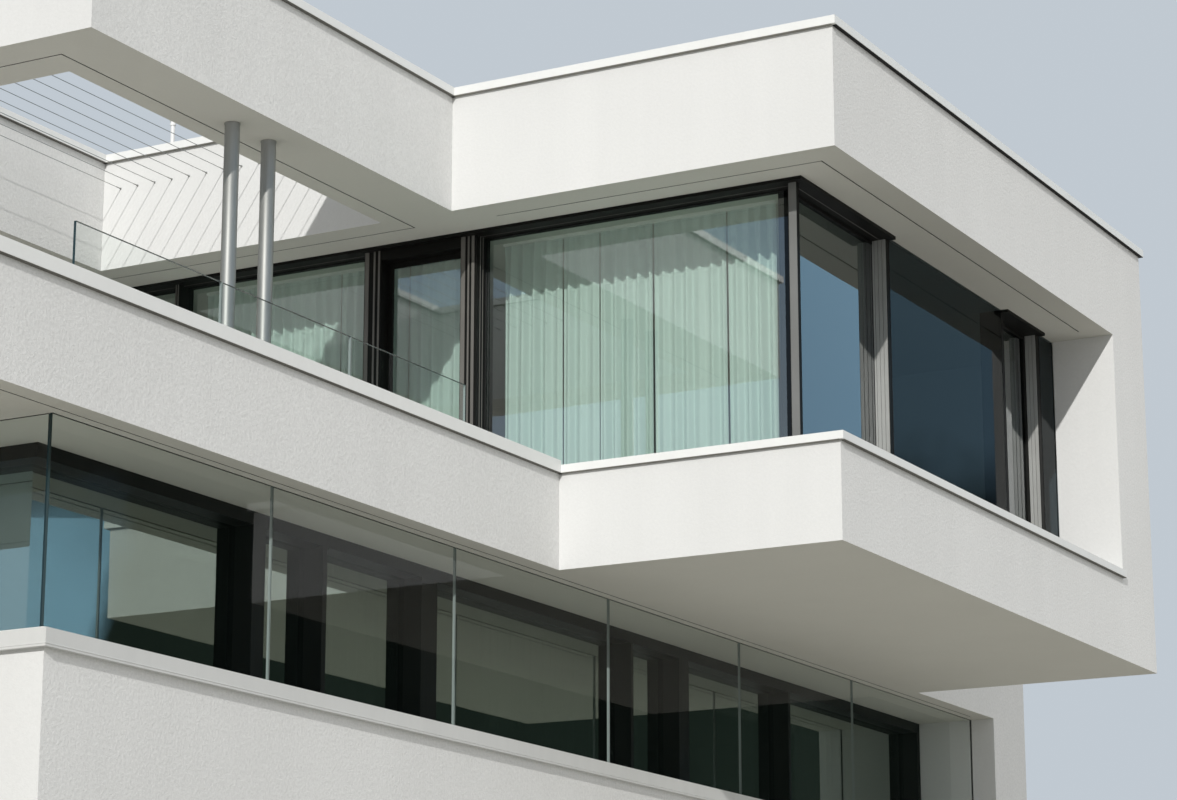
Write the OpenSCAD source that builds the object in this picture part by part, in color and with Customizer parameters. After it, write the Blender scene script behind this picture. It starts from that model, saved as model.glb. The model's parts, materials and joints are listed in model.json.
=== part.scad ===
/* [Overall size] */
// Width of the house from the left wall to the face of the upper box
house_w = 14000; // [13200:50:15000]
// Depth of the house from the front of the terrace to the back wall
house_d = 18300; // [17400:20:19400]
// Reach of the terrace in front of the upper box
terrace_reach = 8000; // [7600:50:8600]
// Length of the upper box along its right face
box_len = 7364; // [7150:1:7800]
// Reach of the upper box past the terrace parapet
box_reach = 2506; // [2200:1:2700]

/* [Heights] */
// Top of the ground floor above the ground
ground_floor_z = 150; // [80:10:300]
// Top of the first floor
first_floor_z = 3750; // [3650:10:3900]
// Top of the second floor
second_floor_z = 6750; // [6650:10:6900]
// Underside of the roof
roof_soffit_z = 9600; // [9500:10:9800]
// Thickness of each floor slab
slab_t = 350; // [280:5:400]
// Thickness of the roof slab
roof_slab_t = 350; // [280:5:420]
// Height of the rendered roof edge, without its coping
fascia_h = 1017; // [900:1:1150]
// Height of the upper parapets above the second floor, without their coping
parapet_h = 445; // [380:5:520]
// Height of the lower parapet above the first floor, without its coping
lower_parapet_h = 1110; // [1000:5:1200]

/* [Walls] */
// Thickness of the rendered outer walls
wall_t = 400; // [340:5:450]
// Thickness of the roof upstands
upstand_t = 300; // [240:5:360]
// Set-back of the lower walls from the terrace parapet
lower_setback = 194; // [120:1:260]
// Reach of the lower front wall in front of the upper box
lower_reach = 6240; // [6000:10:6500]
// Width of the pier that closes the upper box
box_pier_w = 620; // [560:10:700]
// Depth of the pier that closes the upper box
box_pier_d = 877; // [800:1:950]
// Depth of the pier that closes the first-floor gallery
end_pier_d = 900; // [850:10:1000]

/* [Roof frame over the terrace] */
// Set-back of the roof frame from the face of the upper box
frame_setback = 3562; // [3450:1:3700]
// Reach of the roof frame in front of the upper box
frame_reach = 4944; // [4700:1:5200]
// Width of the roof opening
court_w = 3000; // [2800:10:3200]
// Width of the side beams of the roof frame
side_beam_w = 708; // [640:1:780]
// Width of the front beam of the roof frame
front_beam_w = 654; // [600:1:720]
// Distance of the drip groove from the sides of the roof opening
court_side_gap = 170; // [120:5:300]
// Distance of the drip groove from the front of the roof opening
court_front_gap = 310; // [200:5:400]
// Distance of the drip groove from the back of the roof opening
court_back_gap = 250; // [150:5:340]
// Distance of the drip groove from the right edge of the roof
box_side_gap = 250; // [180:5:340]
// Distance of the drip groove from the front edge of the box's roof
box_front_gap = 303; // [200:1:360]
// Distance of the groove's left end from the roof frame
groove_left_gap = 258; // [150:1:400]
// Distance of the groove's back end from the pier
groove_back_gap = 231; // [150:1:400]
// Distance of the groove under the second floor from the parapet's face
floor_groove_gap = 160; // [100:5:220]
// Width of the drip groove
groove_w = 14; // [8:1:20]
// Depth of the drip groove
groove_d = 14; // [8:1:25]

/* [Copings] */
// Overhang of the upper copings
coping_over = 40; // [20:1:60]
// Height of the roof coping
roof_coping_h = 70; // [50:1:90]
// Height of the coping on the terrace parapet
terrace_coping_h = 100; // [70:1:120]
// Height of the coping on the band of the box
sill_coping_h = 65; // [50:1:80]
// Overhang of the lower coping
lower_coping_over = 50; // [30:1:70]
// Height of the lower coping
lower_coping_h = 120; // [90:1:140]

/* [Glass] */
// Thickness of the free-standing glass
screen_t = 20; // [16:1:30]
// Distance of the glass screen from the face of the lower wall
screen_in = 60; // [50:1:100]
// Width of one panel of the glass screen
screen_panel_w = 2500; // [2200:10:2700]
// Gap between two panels
panel_gap = 12; // [8:1:20]
// Distance between the glass screen and the first-floor windows
gallery_d = 600; // [550:5:650]
// Height of the low glass on the terrace parapet
rail_glass_h = 360; // [250:5:400]
// Length of one panel of the low glass
rail_panel_w = 1633; // [1500:1:1680]
// Distance of the low glass from the upper box
rail_start = 1339; // [1250:1:1500]
// Number of panels of the low glass
rail_panels = 3; // [1:1:3]
// Distance of the low glass from the face of the parapet
rail_glass_gap = 90; // [60:5:300]
// Thickness of the glazed units in the frames
pane_t = 30; // [24:1:40]

/* [Window frames] */
// Distance of the upper windows from the front face of the box
upper_window_in = 620; // [580:5:660]
// Distance of the upper windows from the right face of the box
upper_side_in = 628; // [600:1:660]
// Distance of the upper head rails from the faces of the box
upper_head_in = 558; // [530:1:580]
// Depth of the frames of the windows cut in the walls
frame_d = 80; // [60:1:110]
// Depth of the frames of the tall glazing
deep_frame_d = 217; // [200:1:250]
// Distance of the recessed upper panes from the faces of their frames
recess_d = 137; // [110:1:150]
// Distance of the first-floor panes from the faces of their frames
first_recess_d = 165; // [140:1:168]
// Width of the corner window in the right face of the box
corner_unit_w = 1880; // [1700:5:2100]
// Width of the narrow window in the right face of the box
narrow_unit_w = 972; // [900:1:1050]
// Width of the pane between the narrow window and the pier
end_pane_w = 367; // [300:1:450]
// Width of the thin jamb of these windows
thin_jamb_w = 50; // [30:1:60]
// Width of the jamb between the narrow window and the pane at the pier
wide_jamb_w = 70; // [60:1:100]
// Width of the fin at the glazed corner
corner_fin_w = 75; // [60:1:100]
// Depth of the fin at the glazed corner
corner_fin_d = 47; // [35:1:60]
// Width of the post behind the glazed corner
corner_post_w = 80; // [60:1:110]
// Height of the upper head rails
head_h = 28; // [20:1:60]
// Height of the first-floor head rails
first_head_h = 100; // [70:5:130]
// Extra height of the frame over the narrow opening window of the upper front
leaf_head_h = 88; // [60:1:120]
// Height of the sill rails
sill_rail_h = 60; // [40:5:90]
// Width of the windows cut in the walls
window_w = 2400; // [2000:50:2800]
// Height of the windows cut in the walls
window_h = 1500; // [1300:50:1600]
// Height of the window sills above each floor
window_sill = 750; // [650:10:850]
// Distance of these windows from the wall's face
window_in = 150; // [100:5:200]
// Width of the frame posts of these windows
post_w = 70; // [50:1:100]
// Width of the opening casement of these windows
casement_w = 800; // [600:10:1000]
// Distance from a corner to the middle of the nearest window
row_start = 2600; // [2300:50:2900]
// Distance between the entrance door and the next window
door_gap = 900; // [600:50:1200]
// Width of the entrance door with its frame
door_w = 1240; // [1100:10:1400]
// Height of the entrance door with its frame
door_h = 2300; // [2150:10:2500]
// Distance from the middle of the entrance door to the end pier
door_from_pier = 1500; // [1100:10:1900]
// Thickness of the door leaf
door_t = 60; // [45:1:75]

/* [Columns, wires and pipe] */
// Diameter of the two round columns
column_dia = 120; // [100:1:150]
// Distance of the column row from the face of the terrace parapet
column_in = 1384; // [1200:1:1500]
// Distance of the nearer column from the upper box
column_y = 2245; // [2000:5:2500]
// Distance between the two columns
column_pitch = 495; // [400:5:600]
// Diameter of the collar at the top of a column
collar_dia = 150; // [140:1:180]
// Height of the collar
collar_h = 30; // [20:1:50]
// Diameter of the wires across the roof opening
wire_dia = 6; // [4:1:10]
// Distance between the wires
wire_pitch = 190; // [150:5:230]
// Height of the wires above the underside of the roof
wire_z = 750; // [650:5:850]
// Diameter of the vent pipe on the roof
pipe_dia = 40; // [30:1:60]
// Height of the vent pipe above the roof slab
pipe_h = 1195; // [1000:5:1300]
// Distance of the vent pipe from the left edge of the roof opening
pipe_x = 376; // [200:1:600]
// Distance of the vent pipe from the front face of the box
pipe_y = 500; // [400:5:800]

/* [Curtains] */
// Thickness of a pleated curtain
curtain_t = 100; // [80:5:120]
// Distance between the window frames and the curtains
curtain_in = 183; // [150:1:220]
// Height of the curtains' hem above the floor
hem_z = 20; // [10:1:40]
// Height of the curtain tracks
track_h = 25; // [15:1:40]
// Width of the curtain tracks
track_w = 40; // [25:1:60]
// Seat between a curtain and its track
seat = 0.3; // [0.1:0.1:0.5]

/* [Hidden] */
$fn = 48;

// Extra length of every cut past the face it starts from
over = 20;

// Upright planes, from the faces that the photographed corner shows
left_x = -house_w / 2;
right_x = house_w / 2;
front_y = -house_d / 2;
back_y = house_d / 2;
box_y = front_y + terrace_reach;
box_end_y = box_y + box_len;
body_x = right_x - box_reach;
lower_x = body_x - lower_setback;
lower_y = box_y - lower_reach;
end_pier_y = back_y - end_pier_d;
frame_x = right_x - frame_setback;
frame_y = box_y - frame_reach;
court_x1 = frame_x - side_beam_w;
court_x0 = court_x1 - court_w;
court_y0 = frame_y + front_beam_w;
wing_x = court_x0 - side_beam_w;
inner_x = lower_x - wall_t;
inner_y = lower_y + wall_t;

// Levels
first_slab_z = first_floor_z - slab_t;
soffit_z = second_floor_z - slab_t;
roof_top_z = roof_soffit_z + roof_slab_t;
fascia_top_z = roof_soffit_z + fascia_h;
parapet_top_z = second_floor_z + parapet_h;
lower_top_z = first_floor_z + lower_parapet_h;
rail_base_z = parapet_top_z + terrace_coping_h;
screen_z = lower_top_z + lower_coping_h;

// Planes of the glass screen and of the glazing behind it
screen_x = lower_x - screen_in;
screen_y = lower_y + screen_in;
first_x = screen_x - gallery_d;
first_y = screen_y + gallery_d;

// Planes of the upper glazing
upper_x = right_x - upper_side_in;
upper_y = box_y + upper_window_in;
head_x = right_x - upper_head_in;
head_y = box_y + upper_head_in;
side_back_x = upper_x - deep_frame_d;
recess_x = upper_x - recess_d;
recess_y = upper_y + recess_d;
box_pier_y = box_end_y - box_pier_d;
corner_unit_y = upper_y + corner_unit_w;
narrow_unit_y1 = box_pier_y - end_pane_w;
narrow_unit_y0 = narrow_unit_y1 - narrow_unit_w;

// Posts of the upper front glazing, as stretches measured from the right face of the box
upper_front_posts = [
    [3676, 3845],
    [4660, 4836],
    [6845, 6895],
    [right_x - wing_x - post_w, right_x - wing_x]
];

// Jambs of the two opening windows in the right face of the box
side_jambs = [
    [corner_unit_y - thin_jamb_w, corner_unit_y],
    [narrow_unit_y0, narrow_unit_y0 + thin_jamb_w],
    [narrow_unit_y1 - wide_jamb_w, narrow_unit_y1]
];

// Posts of the first-floor side glazing, measured from the front face of the box, the last two from the end pier
first_end = end_pier_y - box_y;
first_side_posts = [
    [-3060, -2900],
    [-2140, -2080],
    [-720, -480],
    [2820, 2870],
    [3760, 3960],
    [first_end - 3296, first_end - 3246],
    [first_end - post_w, first_end]
];

// Posts of the first-floor front glazing, measured from the glazed corner
first_front_posts = [
    [2350, 2500],
    [first_x - wing_x - post_w, first_x - wing_x]
];

// Windows cut in the walls: place of the middle of the sill, and the turn of the wall. A row is even from a to b
function row(a, b, n) = [for (i = [0 : n - 1]) a + (b - a) * i / (n - 1)];
long_row = row(back_y - row_start, frame_y + row_start, 3);
storeys = [ground_floor_z, first_floor_z, second_floor_z];
back_row = row(left_x + row_start, inner_x - door_from_pier - (door_w + window_w) / 2 - door_gap, 2);
left_low_windows = [for (s = [0, 1]) for (y = long_row) [left_x, y, storeys[s] + window_sill, -90]];
left_top_windows = [for (y = long_row) [left_x, y, storeys[2] + window_sill, -90]];
back_low_windows = [for (s = [0, 1]) for (x = back_row) [x, back_y, storeys[s] + window_sill, 180]];
back_top_windows = [for (x = back_row) [x, back_y, storeys[2] + window_sill, 180]];
right_windows = [for (y = row(end_pier_y - row_start, lower_y + row_start, 3))
    [lower_x, y, storeys[0] + window_sill, 90]];
front_windows = [[lower_x - row_start, lower_y, storeys[0] + window_sill, 0]];
wing_low_windows = [for (s = [0, 1]) [left_x + row_start, lower_y, storeys[s] + window_sill, 0]];
wing_top_windows = [[left_x + row_start, frame_y, storeys[2] + window_sill, 0]];
wall_windows = concat(left_low_windows, left_top_windows, back_low_windows, back_top_windows,
    right_windows, front_windows, wing_low_windows, wing_top_windows);
door_place = [inner_x - door_from_pier, back_y, ground_floor_z, 180];

// Curtains: stretches of the upper front and of the first-floor side
upper_curtains = [[1030, 3670], [4027, 6854]];
first_curtains_y = [[-1740, -673], [952, 2984], [3278, 3797], [first_end - 3547, first_end - 3161],
    [first_end - 2785, first_end - 1302]];
curtain_y = upper_y + deep_frame_d + curtain_in;
curtain_x = first_x - deep_frame_d - curtain_in;

// Wires across the roof opening
wire_count = floor((court_w - wire_dia) / wire_pitch);

module block(x0, x1, y0, y1, z0, z1) {
    translate([x0, y0, z0]) cube([x1 - x0, y1 - y0, z1 - z0]);
}

// A plate with an upright edge on the given outline
module plate(points, z0, z1) {
    translate([0, 0, z0]) linear_extrude(z1 - z0) polygon(points);
}

// Stands a part of a wall window at its place: x along the wall, y into the wall
module stand(place) {
    translate([place[0], place[1], place[2]]) rotate([0, 0, place[3]]) children();
}

module window_cuts(places, w = window_w, h = window_h) {
    for (p = places) stand(p) block(-w / 2, w / 2, -over, wall_t + over, 0, h);
}

// Walls of the two lower storeys
module ground_slab() {
    color("silver") block(left_x + wall_t, inner_x, inner_y, back_y - wall_t, 0, ground_floor_z);
}

module front_wall() {
    color("whitesmoke") difference() {
        block(wing_x, lower_x, lower_y, inner_y, 0, lower_top_z);
        window_cuts(front_windows);
    }
}

module wing_wall() {
    color("whitesmoke") difference() {
        block(left_x, wing_x, lower_y, inner_y, 0, soffit_z);
        window_cuts(wing_low_windows);
    }
}

module right_wall() {
    color("whitesmoke") difference() {
        block(inner_x, lower_x, inner_y, end_pier_y, 0, lower_top_z);
        window_cuts(right_windows);
    }
}

module back_wall() {
    color("whitesmoke") difference() {
        block(left_x, inner_x, back_y - wall_t, back_y, 0, soffit_z);
        window_cuts(back_low_windows);
        window_cuts([door_place], door_w, door_h);
    }
}

module left_wall() {
    color("whitesmoke") difference() {
        block(left_x, left_x + wall_t, inner_y, back_y - wall_t, 0, soffit_z);
        window_cuts(left_low_windows);
    }
}

module end_pier() {
    color("whitesmoke") block(inner_x, body_x, end_pier_y, back_y, 0, soffit_z);
}

// Walls that close the two ends of the gallery between screen and windows
module gallery_returns() {
    color("whitesmoke") {
        block(first_x - deep_frame_d, inner_x, end_pier_y, back_y - wall_t, first_floor_z, soffit_z);
        block(wing_x - wall_t, wing_x, inner_y, first_y + deep_frame_d, first_floor_z, soffit_z);
    }
}

module first_floor_slab() {
    color("silver") block(left_x + wall_t, inner_x, inner_y, back_y - wall_t, first_slab_z, first_floor_z);
}

// Coping of the lower parapet, round the corner under the glass screen
module lower_coping() {
    out_x = lower_x + lower_coping_over;
    out_y = lower_y - lower_coping_over;
    color("lightgray") plate([[wing_x, out_y], [out_x, out_y], [out_x, end_pier_y], [inner_x, end_pier_y],
        [inner_x, inner_y], [wing_x, inner_y]], lower_top_z, screen_z);
}

// Panels of one run of the screen: the last one takes what is left of the run
module screen_run(len) {
    n = floor(len / screen_panel_w);
    for (i = [0 : n - 1]) {
        end = i == n - 1 ? len : (i + 1) * screen_panel_w - panel_gap;
        block(i * screen_panel_w, end, 0, screen_t, screen_z, soffit_z);
    }
}

module screen_glass() {
    color("lightcyan", 0.4) {
        translate([screen_x, screen_y, 0]) rotate([0, 0, 90]) screen_run(end_pier_y - screen_y);
        translate([screen_x - screen_t - panel_gap, screen_y + screen_t, 0]) rotate([0, 0, 180])
            screen_run(screen_x - screen_t - panel_gap - wing_x);
    }
}

// Glazing of the first floor behind the screen
module first_rails() {
    d = deep_frame_d;
    color("dimgray") for (z = [[first_floor_z, first_floor_z + sill_rail_h], [soffit_z - first_head_h, soffit_z]])
        plate([[wing_x, first_y], [first_x, first_y], [first_x, end_pier_y],
            [first_x - d, end_pier_y], [first_x - d, first_y + d], [wing_x, first_y + d]], z[0], z[1]);
}

module first_posts() {
    z0 = first_floor_z + sill_rail_h;
    z1 = soffit_z - first_head_h;
    d = deep_frame_d;
    color("dimgray") {
        for (p = first_side_posts) block(first_x - d, first_x, box_y + p[0], box_y + p[1], z0, z1);
        for (p = first_front_posts) block(first_x - p[1], first_x - p[0], first_y, first_y + d, z0, z1);
    }
}

// Panes between the posts of a list, drawn along x from the first post's end
module panes(posts, z0, z1) {
    for (i = [0 : len(posts) - 2]) block(posts[i][1], posts[i + 1][0], 0, pane_t, z0, z1);
}

// The panes of the two faces meet at a glazed corner
module first_glass() {
    z0 = first_floor_z + sill_rail_h;
    z1 = soffit_z - first_head_h;
    r = first_recess_d;
    corner = first_y + r + pane_t - box_y;
    color("lightcyan", 0.4) {
        translate([first_x - r, box_y, 0]) rotate([0, 0, 90])
            panes(concat([[corner, corner]], first_side_posts), z0, z1);
        translate([first_x, first_y + r + pane_t, 0]) rotate([0, 0, 180])
            panes(concat([[r, r]], first_front_posts), z0, z1);
    }
}

module first_curtains() {
    color("honeydew") for (c = first_curtains_y)
        block(curtain_x - curtain_t, curtain_x, box_y + c[0], box_y + c[1],
            first_floor_z + hem_z, soffit_z - track_h - seat);
}

// Second floor, from the terrace to the underside of the box, with a drip groove along the parapet
module second_floor_slab() {
    g = floor_groove_gap;
    color("gainsboro") difference() {
        plate([[left_x, front_y], [body_x, front_y], [body_x, box_y], [right_x, box_y],
            [right_x, box_end_y], [body_x, box_end_y], [body_x, back_y], [left_x, back_y]],
            soffit_z, second_floor_z);
        translate([0, 0, soffit_z - over]) linear_extrude(over + groove_d) {
            translate([body_x - g - groove_w, front_y + g])
                square([groove_w, end_pier_y - groove_back_gap - front_y - g]);
            translate([left_x + g, front_y + g]) square([body_x - left_x - 2 * g, groove_w]);
        }
    }
}

module terrace_parapet() {
    color("whitesmoke") plate([[left_x, front_y], [body_x, front_y], [body_x, box_y],
        [body_x - wall_t, box_y], [body_x - wall_t, front_y + wall_t],
        [left_x + wall_t, front_y + wall_t], [left_x + wall_t, frame_y], [left_x, frame_y]],
        second_floor_z, parapet_top_z);
}

module box_band() {
    color("white") plate([[body_x, box_y], [right_x, box_y], [right_x, box_pier_y],
        [right_x - wall_t, box_pier_y], [right_x - wall_t, box_y + wall_t], [body_x, box_y + wall_t]],
        second_floor_z, parapet_top_z);
}

module terrace_coping() {
    color("lightgray") plate([[left_x - coping_over, front_y - coping_over],
        [body_x + coping_over, front_y - coping_over], [body_x + coping_over, box_y - coping_over],
        [body_x - wall_t, box_y - coping_over], [body_x - wall_t, front_y + wall_t],
        [left_x + wall_t, front_y + wall_t], [left_x + wall_t, frame_y], [left_x - coping_over, frame_y]],
        parapet_top_z, rail_base_z);
}

module sill_coping() {
    color("lightgray") plate([[body_x - wall_t, box_y - coping_over], [right_x + coping_over, box_y - coping_over],
        [right_x + coping_over, box_pier_y], [right_x - wall_t, box_pier_y],
        [right_x - wall_t, box_y + wall_t], [body_x, box_y + wall_t], [body_x, box_y], [body_x - wall_t, box_y]],
        parapet_top_z, parapet_top_z + sill_coping_h);
}

// Low glass on the terrace parapet
module rail_glass() {
    color("lightcyan", 0.4) for (i = [0 : rail_panels - 1]) {
        end = box_y - rail_start - i * rail_panel_w;
        block(body_x - rail_glass_gap - screen_t, body_x - rail_glass_gap, end - rail_panel_w + panel_gap, end,
            rail_base_z, rail_base_z + rail_glass_h);
    }
}

// Glazing of the second floor: the head rails stand in front of the panes
module upper_rails() {
    z0 = roof_soffit_z - head_h;
    leaf = [upper_front_posts[0][1], upper_front_posts[1][0]];
    back = upper_y + deep_frame_d;
    color("dimgray") {
        plate([[wing_x, upper_y], [upper_x, upper_y], [upper_x, box_pier_y], [side_back_x, box_pier_y],
            [side_back_x, back], [wing_x, back]], second_floor_z, second_floor_z + sill_rail_h);
        plate([[wing_x, head_y], [head_x, head_y], [head_x, corner_unit_y], [side_back_x, corner_unit_y],
            [side_back_x, back], [wing_x, back]], z0, roof_soffit_z);
        block(side_back_x, head_x, narrow_unit_y0, narrow_unit_y1, z0, roof_soffit_z);
        block(right_x - leaf[1], right_x - leaf[0], upper_y, back, z0 - leaf_head_h, z0);
    }
}

// Posts and jambs. The corner has a fin in front of the glass and a post behind it
module upper_posts() {
    z0 = second_floor_z + sill_rail_h;
    z1 = roof_soffit_z - head_h;
    back = upper_y + deep_frame_d;
    post_x = recess_x - pane_t;
    color("dimgray") {
        for (p = upper_front_posts) block(right_x - p[1], right_x - p[0], upper_y, back, z0, z1);
        for (p = side_jambs) block(side_back_x, upper_x, p[0], p[1], z0, z1);
        block(upper_x - corner_fin_w, upper_x, upper_y, upper_y + corner_fin_d, z0, z1);
        block(post_x - corner_post_w, post_x, recess_y + pane_t, back, z0, z1);
    }
}

// The long side panes reach up to the roof; the others are recessed and meet at a glazed corner
module upper_glass() {
    z0 = second_floor_z + sill_rail_h;
    z1 = roof_soffit_z - head_h;
    y1 = recess_y + pane_t;
    p = upper_front_posts;
    color("lightcyan", 0.4) {
        block(right_x - p[0][0], recess_x, recess_y, y1, z0, z1);
        for (i = [0 : len(p) - 2])
            block(right_x - p[i + 1][0], right_x - p[i][1], recess_y, y1, z0, i == 0 ? z1 - leaf_head_h : z1);
        block(recess_x - pane_t, recess_x, y1, side_jambs[0][0], z0, z1);
        block(upper_x - pane_t, upper_x, corner_unit_y, narrow_unit_y0, z0, roof_soffit_z);
        block(recess_x - pane_t, recess_x, side_jambs[1][1], side_jambs[2][0], z0, z1);
        block(upper_x - pane_t, upper_x, narrow_unit_y1, box_pier_y, z0, roof_soffit_z);
    }
}

module upper_curtain(c) {
    color("honeydew") block(right_x - c[1], right_x - c[0], curtain_y, curtain_y + curtain_t,
        second_floor_z + hem_z, roof_soffit_z - track_h - seat);
}

module upper_curtain_right() {
    upper_curtain(upper_curtains[0]);
}

module upper_curtain_left() {
    upper_curtain(upper_curtains[1]);
}

// One track over each curtain
module curtain_tracks() {
    mid_y = curtain_y + curtain_t / 2;
    mid_x = curtain_x - curtain_t / 2;
    color("white") {
        for (c = upper_curtains) block(right_x - c[1], right_x - c[0], mid_y - track_w / 2, mid_y + track_w / 2,
            roof_soffit_z - track_h, roof_soffit_z);
        for (c = first_curtains_y) block(mid_x - track_w / 2, mid_x + track_w / 2, box_y + c[0], box_y + c[1],
            soffit_z - track_h, soffit_z);
    }
}

// Walls of the second floor
module box_pier() {
    color("white") block(right_x - box_pier_w, right_x, box_pier_y, box_end_y, second_floor_z, roof_soffit_z);
}

module box_end_wall() {
    color("whitesmoke") block(body_x, right_x - box_pier_w, box_end_y - wall_t, box_end_y,
        second_floor_z, roof_soffit_z);
}

module upper_side_wall() {
    color("whitesmoke") block(body_x - wall_t, body_x, box_end_y - wall_t, back_y - wall_t,
        second_floor_z, roof_soffit_z);
}

module upper_back_wall() {
    color("whitesmoke") difference() {
        block(left_x, body_x, back_y - wall_t, back_y, second_floor_z, roof_soffit_z);
        window_cuts(back_top_windows);
    }
}

module upper_left_wall() {
    color("whitesmoke") difference() {
        block(left_x, left_x + wall_t, frame_y + wall_t, back_y - wall_t, second_floor_z, roof_soffit_z);
        window_cuts(left_top_windows);
    }
}

module wing_upper_front() {
    color("whitesmoke") difference() {
        block(left_x, wing_x, frame_y, frame_y + wall_t, second_floor_z, roof_soffit_z);
        window_cuts(wing_top_windows);
    }
}

module wing_upper_side() {
    color("whitesmoke") block(wing_x - wall_t, wing_x, frame_y + wall_t, upper_y + deep_frame_d,
        second_floor_z, roof_soffit_z);
}

// Frames and panes of the windows cut in the walls
module window_rails() {
    color("dimgray") {
        for (p = wall_windows) stand(p) for (z = [[0, post_w], [window_h - post_w, window_h]])
            block(-window_w / 2, window_w / 2, window_in, window_in + frame_d, z[0], z[1]);
        stand(door_place) block(-door_w / 2, door_w / 2, window_in, window_in + frame_d, door_h - post_w, door_h);
    }
}

module window_posts() {
    color("dimgray") {
        for (p = wall_windows) stand(p)
            for (x = [-window_w / 2, window_w / 2 - casement_w - post_w, window_w / 2 - post_w])
                block(x, x + post_w, window_in, window_in + frame_d, post_w, window_h - post_w);
        stand(door_place) for (x = [-door_w / 2, door_w / 2 - post_w])
            block(x, x + post_w, window_in, window_in + frame_d, 0, door_h - post_w);
    }
}

module window_glass() {
    y0 = window_in + (frame_d - pane_t) / 2;
    color("lightcyan", 0.4) for (p = wall_windows) stand(p) {
        block(-window_w / 2 + post_w, window_w / 2 - casement_w - post_w, y0, y0 + pane_t, post_w, window_h - post_w);
        block(window_w / 2 - casement_w, window_w / 2 - post_w, y0, y0 + pane_t, post_w, window_h - post_w);
    }
}

module entrance_door() {
    y0 = window_in + (frame_d - door_t) / 2;
    color("slategray") stand(door_place)
        block(-door_w / 2 + post_w, door_w / 2 - post_w, y0, y0 + door_t, 0, door_h - post_w);
}

// Drip grooves in the underside of the roof: a ring round the opening, and an angle along the edge of the box
module drip_grooves() {
    z0 = roof_soffit_z - over;
    z1 = roof_soffit_z + groove_d;
    s = court_side_gap;
    f = court_front_gap;
    w = groove_w;
    groove_x = right_x - box_side_gap;
    groove_y = box_y + box_front_gap;
    translate([0, 0, z0]) linear_extrude(z1 - z0) {
        difference() {
            translate([court_x0 - s - w, court_y0 - f - w])
                square([court_w + 2 * (s + w), box_y + court_back_gap - court_y0 + f + 2 * w]);
            translate([court_x0 - s, court_y0 - f])
                square([court_w + 2 * s, box_y + court_back_gap - court_y0 + f]);
        }
        translate([frame_x + groove_left_gap, groove_y]) square([groove_x - frame_x - groove_left_gap, w]);
        translate([groove_x - w, groove_y]) square([w, box_pier_y - groove_back_gap - groove_y]);
    }
}

module roof_slab() {
    color("gainsboro") difference() {
        plate([[wing_x, box_y], [right_x, box_y], [right_x, box_end_y], [body_x, box_end_y], [body_x, back_y],
            [left_x, back_y], [left_x, frame_y], [wing_x, frame_y]], roof_soffit_z, roof_top_z);
        drip_grooves();
    }
}

// Frame of beams round the roof opening
module roof_frame() {
    color("whitesmoke") difference() {
        plate([[wing_x, frame_y], [frame_x, frame_y], [frame_x, box_y], [court_x1, box_y],
            [court_x1, court_y0], [court_x0, court_y0], [court_x0, box_y], [wing_x, box_y]],
            roof_soffit_z, fascia_top_z);
        drip_grooves();
    }
}

// Upstands on the roof slab, those across the house and those along it
module cross_upstands() {
    z0 = roof_top_z;
    z1 = fascia_top_z;
    color("whitesmoke") {
        block(wing_x, right_x, box_y, box_y + upstand_t, z0, z1);
        block(body_x, right_x, box_end_y - upstand_t, box_end_y, z0, z1);
        block(left_x, body_x, back_y - upstand_t, back_y, z0, z1);
        block(left_x, wing_x, frame_y, frame_y + upstand_t, z0, z1);
    }
}

module long_upstands() {
    z0 = roof_top_z;
    z1 = fascia_top_z;
    color("whitesmoke") {
        block(right_x - upstand_t, right_x, box_y + upstand_t, box_end_y - upstand_t, z0, z1);
        block(body_x - upstand_t, body_x, box_end_y - upstand_t, back_y - upstand_t, z0, z1);
        block(left_x, left_x + upstand_t, frame_y + upstand_t, back_y - upstand_t, z0, z1);
        block(wing_x - upstand_t, wing_x, frame_y + upstand_t, box_y + upstand_t, z0, z1);
    }
}

// Copings on the upstands
module cross_copings() {
    z0 = fascia_top_z;
    z1 = z0 + roof_coping_h;
    c = coping_over;
    color("lightgray") {
        block(wing_x, right_x + c, box_y - c, box_y + upstand_t, z0, z1);
        block(body_x - upstand_t, right_x + c, box_end_y - upstand_t, box_end_y + c, z0, z1);
        block(left_x - c, body_x + c, back_y - upstand_t, back_y + c, z0, z1);
        block(left_x - c, wing_x, frame_y - c, frame_y + upstand_t, z0, z1);
    }
}

module long_copings() {
    z0 = fascia_top_z;
    z1 = z0 + roof_coping_h;
    c = coping_over;
    color("lightgray") {
        block(right_x - upstand_t, right_x + c, box_y + upstand_t, box_end_y - upstand_t, z0, z1);
        block(body_x - upstand_t, body_x + c, box_end_y + c, back_y - upstand_t, z0, z1);
        block(left_x - c, left_x + upstand_t, frame_y + upstand_t, back_y - upstand_t, z0, z1);
        block(wing_x - upstand_t, wing_x, frame_y + upstand_t, box_y + upstand_t, z0, z1);
    }
}

// Coping over the full width of the beams, with its edge over the opening
module frame_coping() {
    c = coping_over;
    color("lightgray") plate([[wing_x, frame_y - c], [frame_x + c, frame_y - c], [frame_x + c, box_y - c],
        [court_x1 - c, box_y - c], [court_x1 - c, court_y0 + c], [court_x0 + c, court_y0 + c],
        [court_x0 + c, box_y - c], [wing_x, box_y - c]], fascia_top_z, fascia_top_z + roof_coping_h);
}

// Columns under the side beam, each with a collar
module columns() {
    color("silver") for (i = [0, 1])
        translate([body_x - column_in, box_y - column_y - i * column_pitch, second_floor_z]) {
            cylinder(h = roof_soffit_z - second_floor_z - collar_h, d = column_dia);
            translate([0, 0, roof_soffit_z - second_floor_z - collar_h]) cylinder(h = collar_h, d = collar_dia);
        }
}

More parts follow.
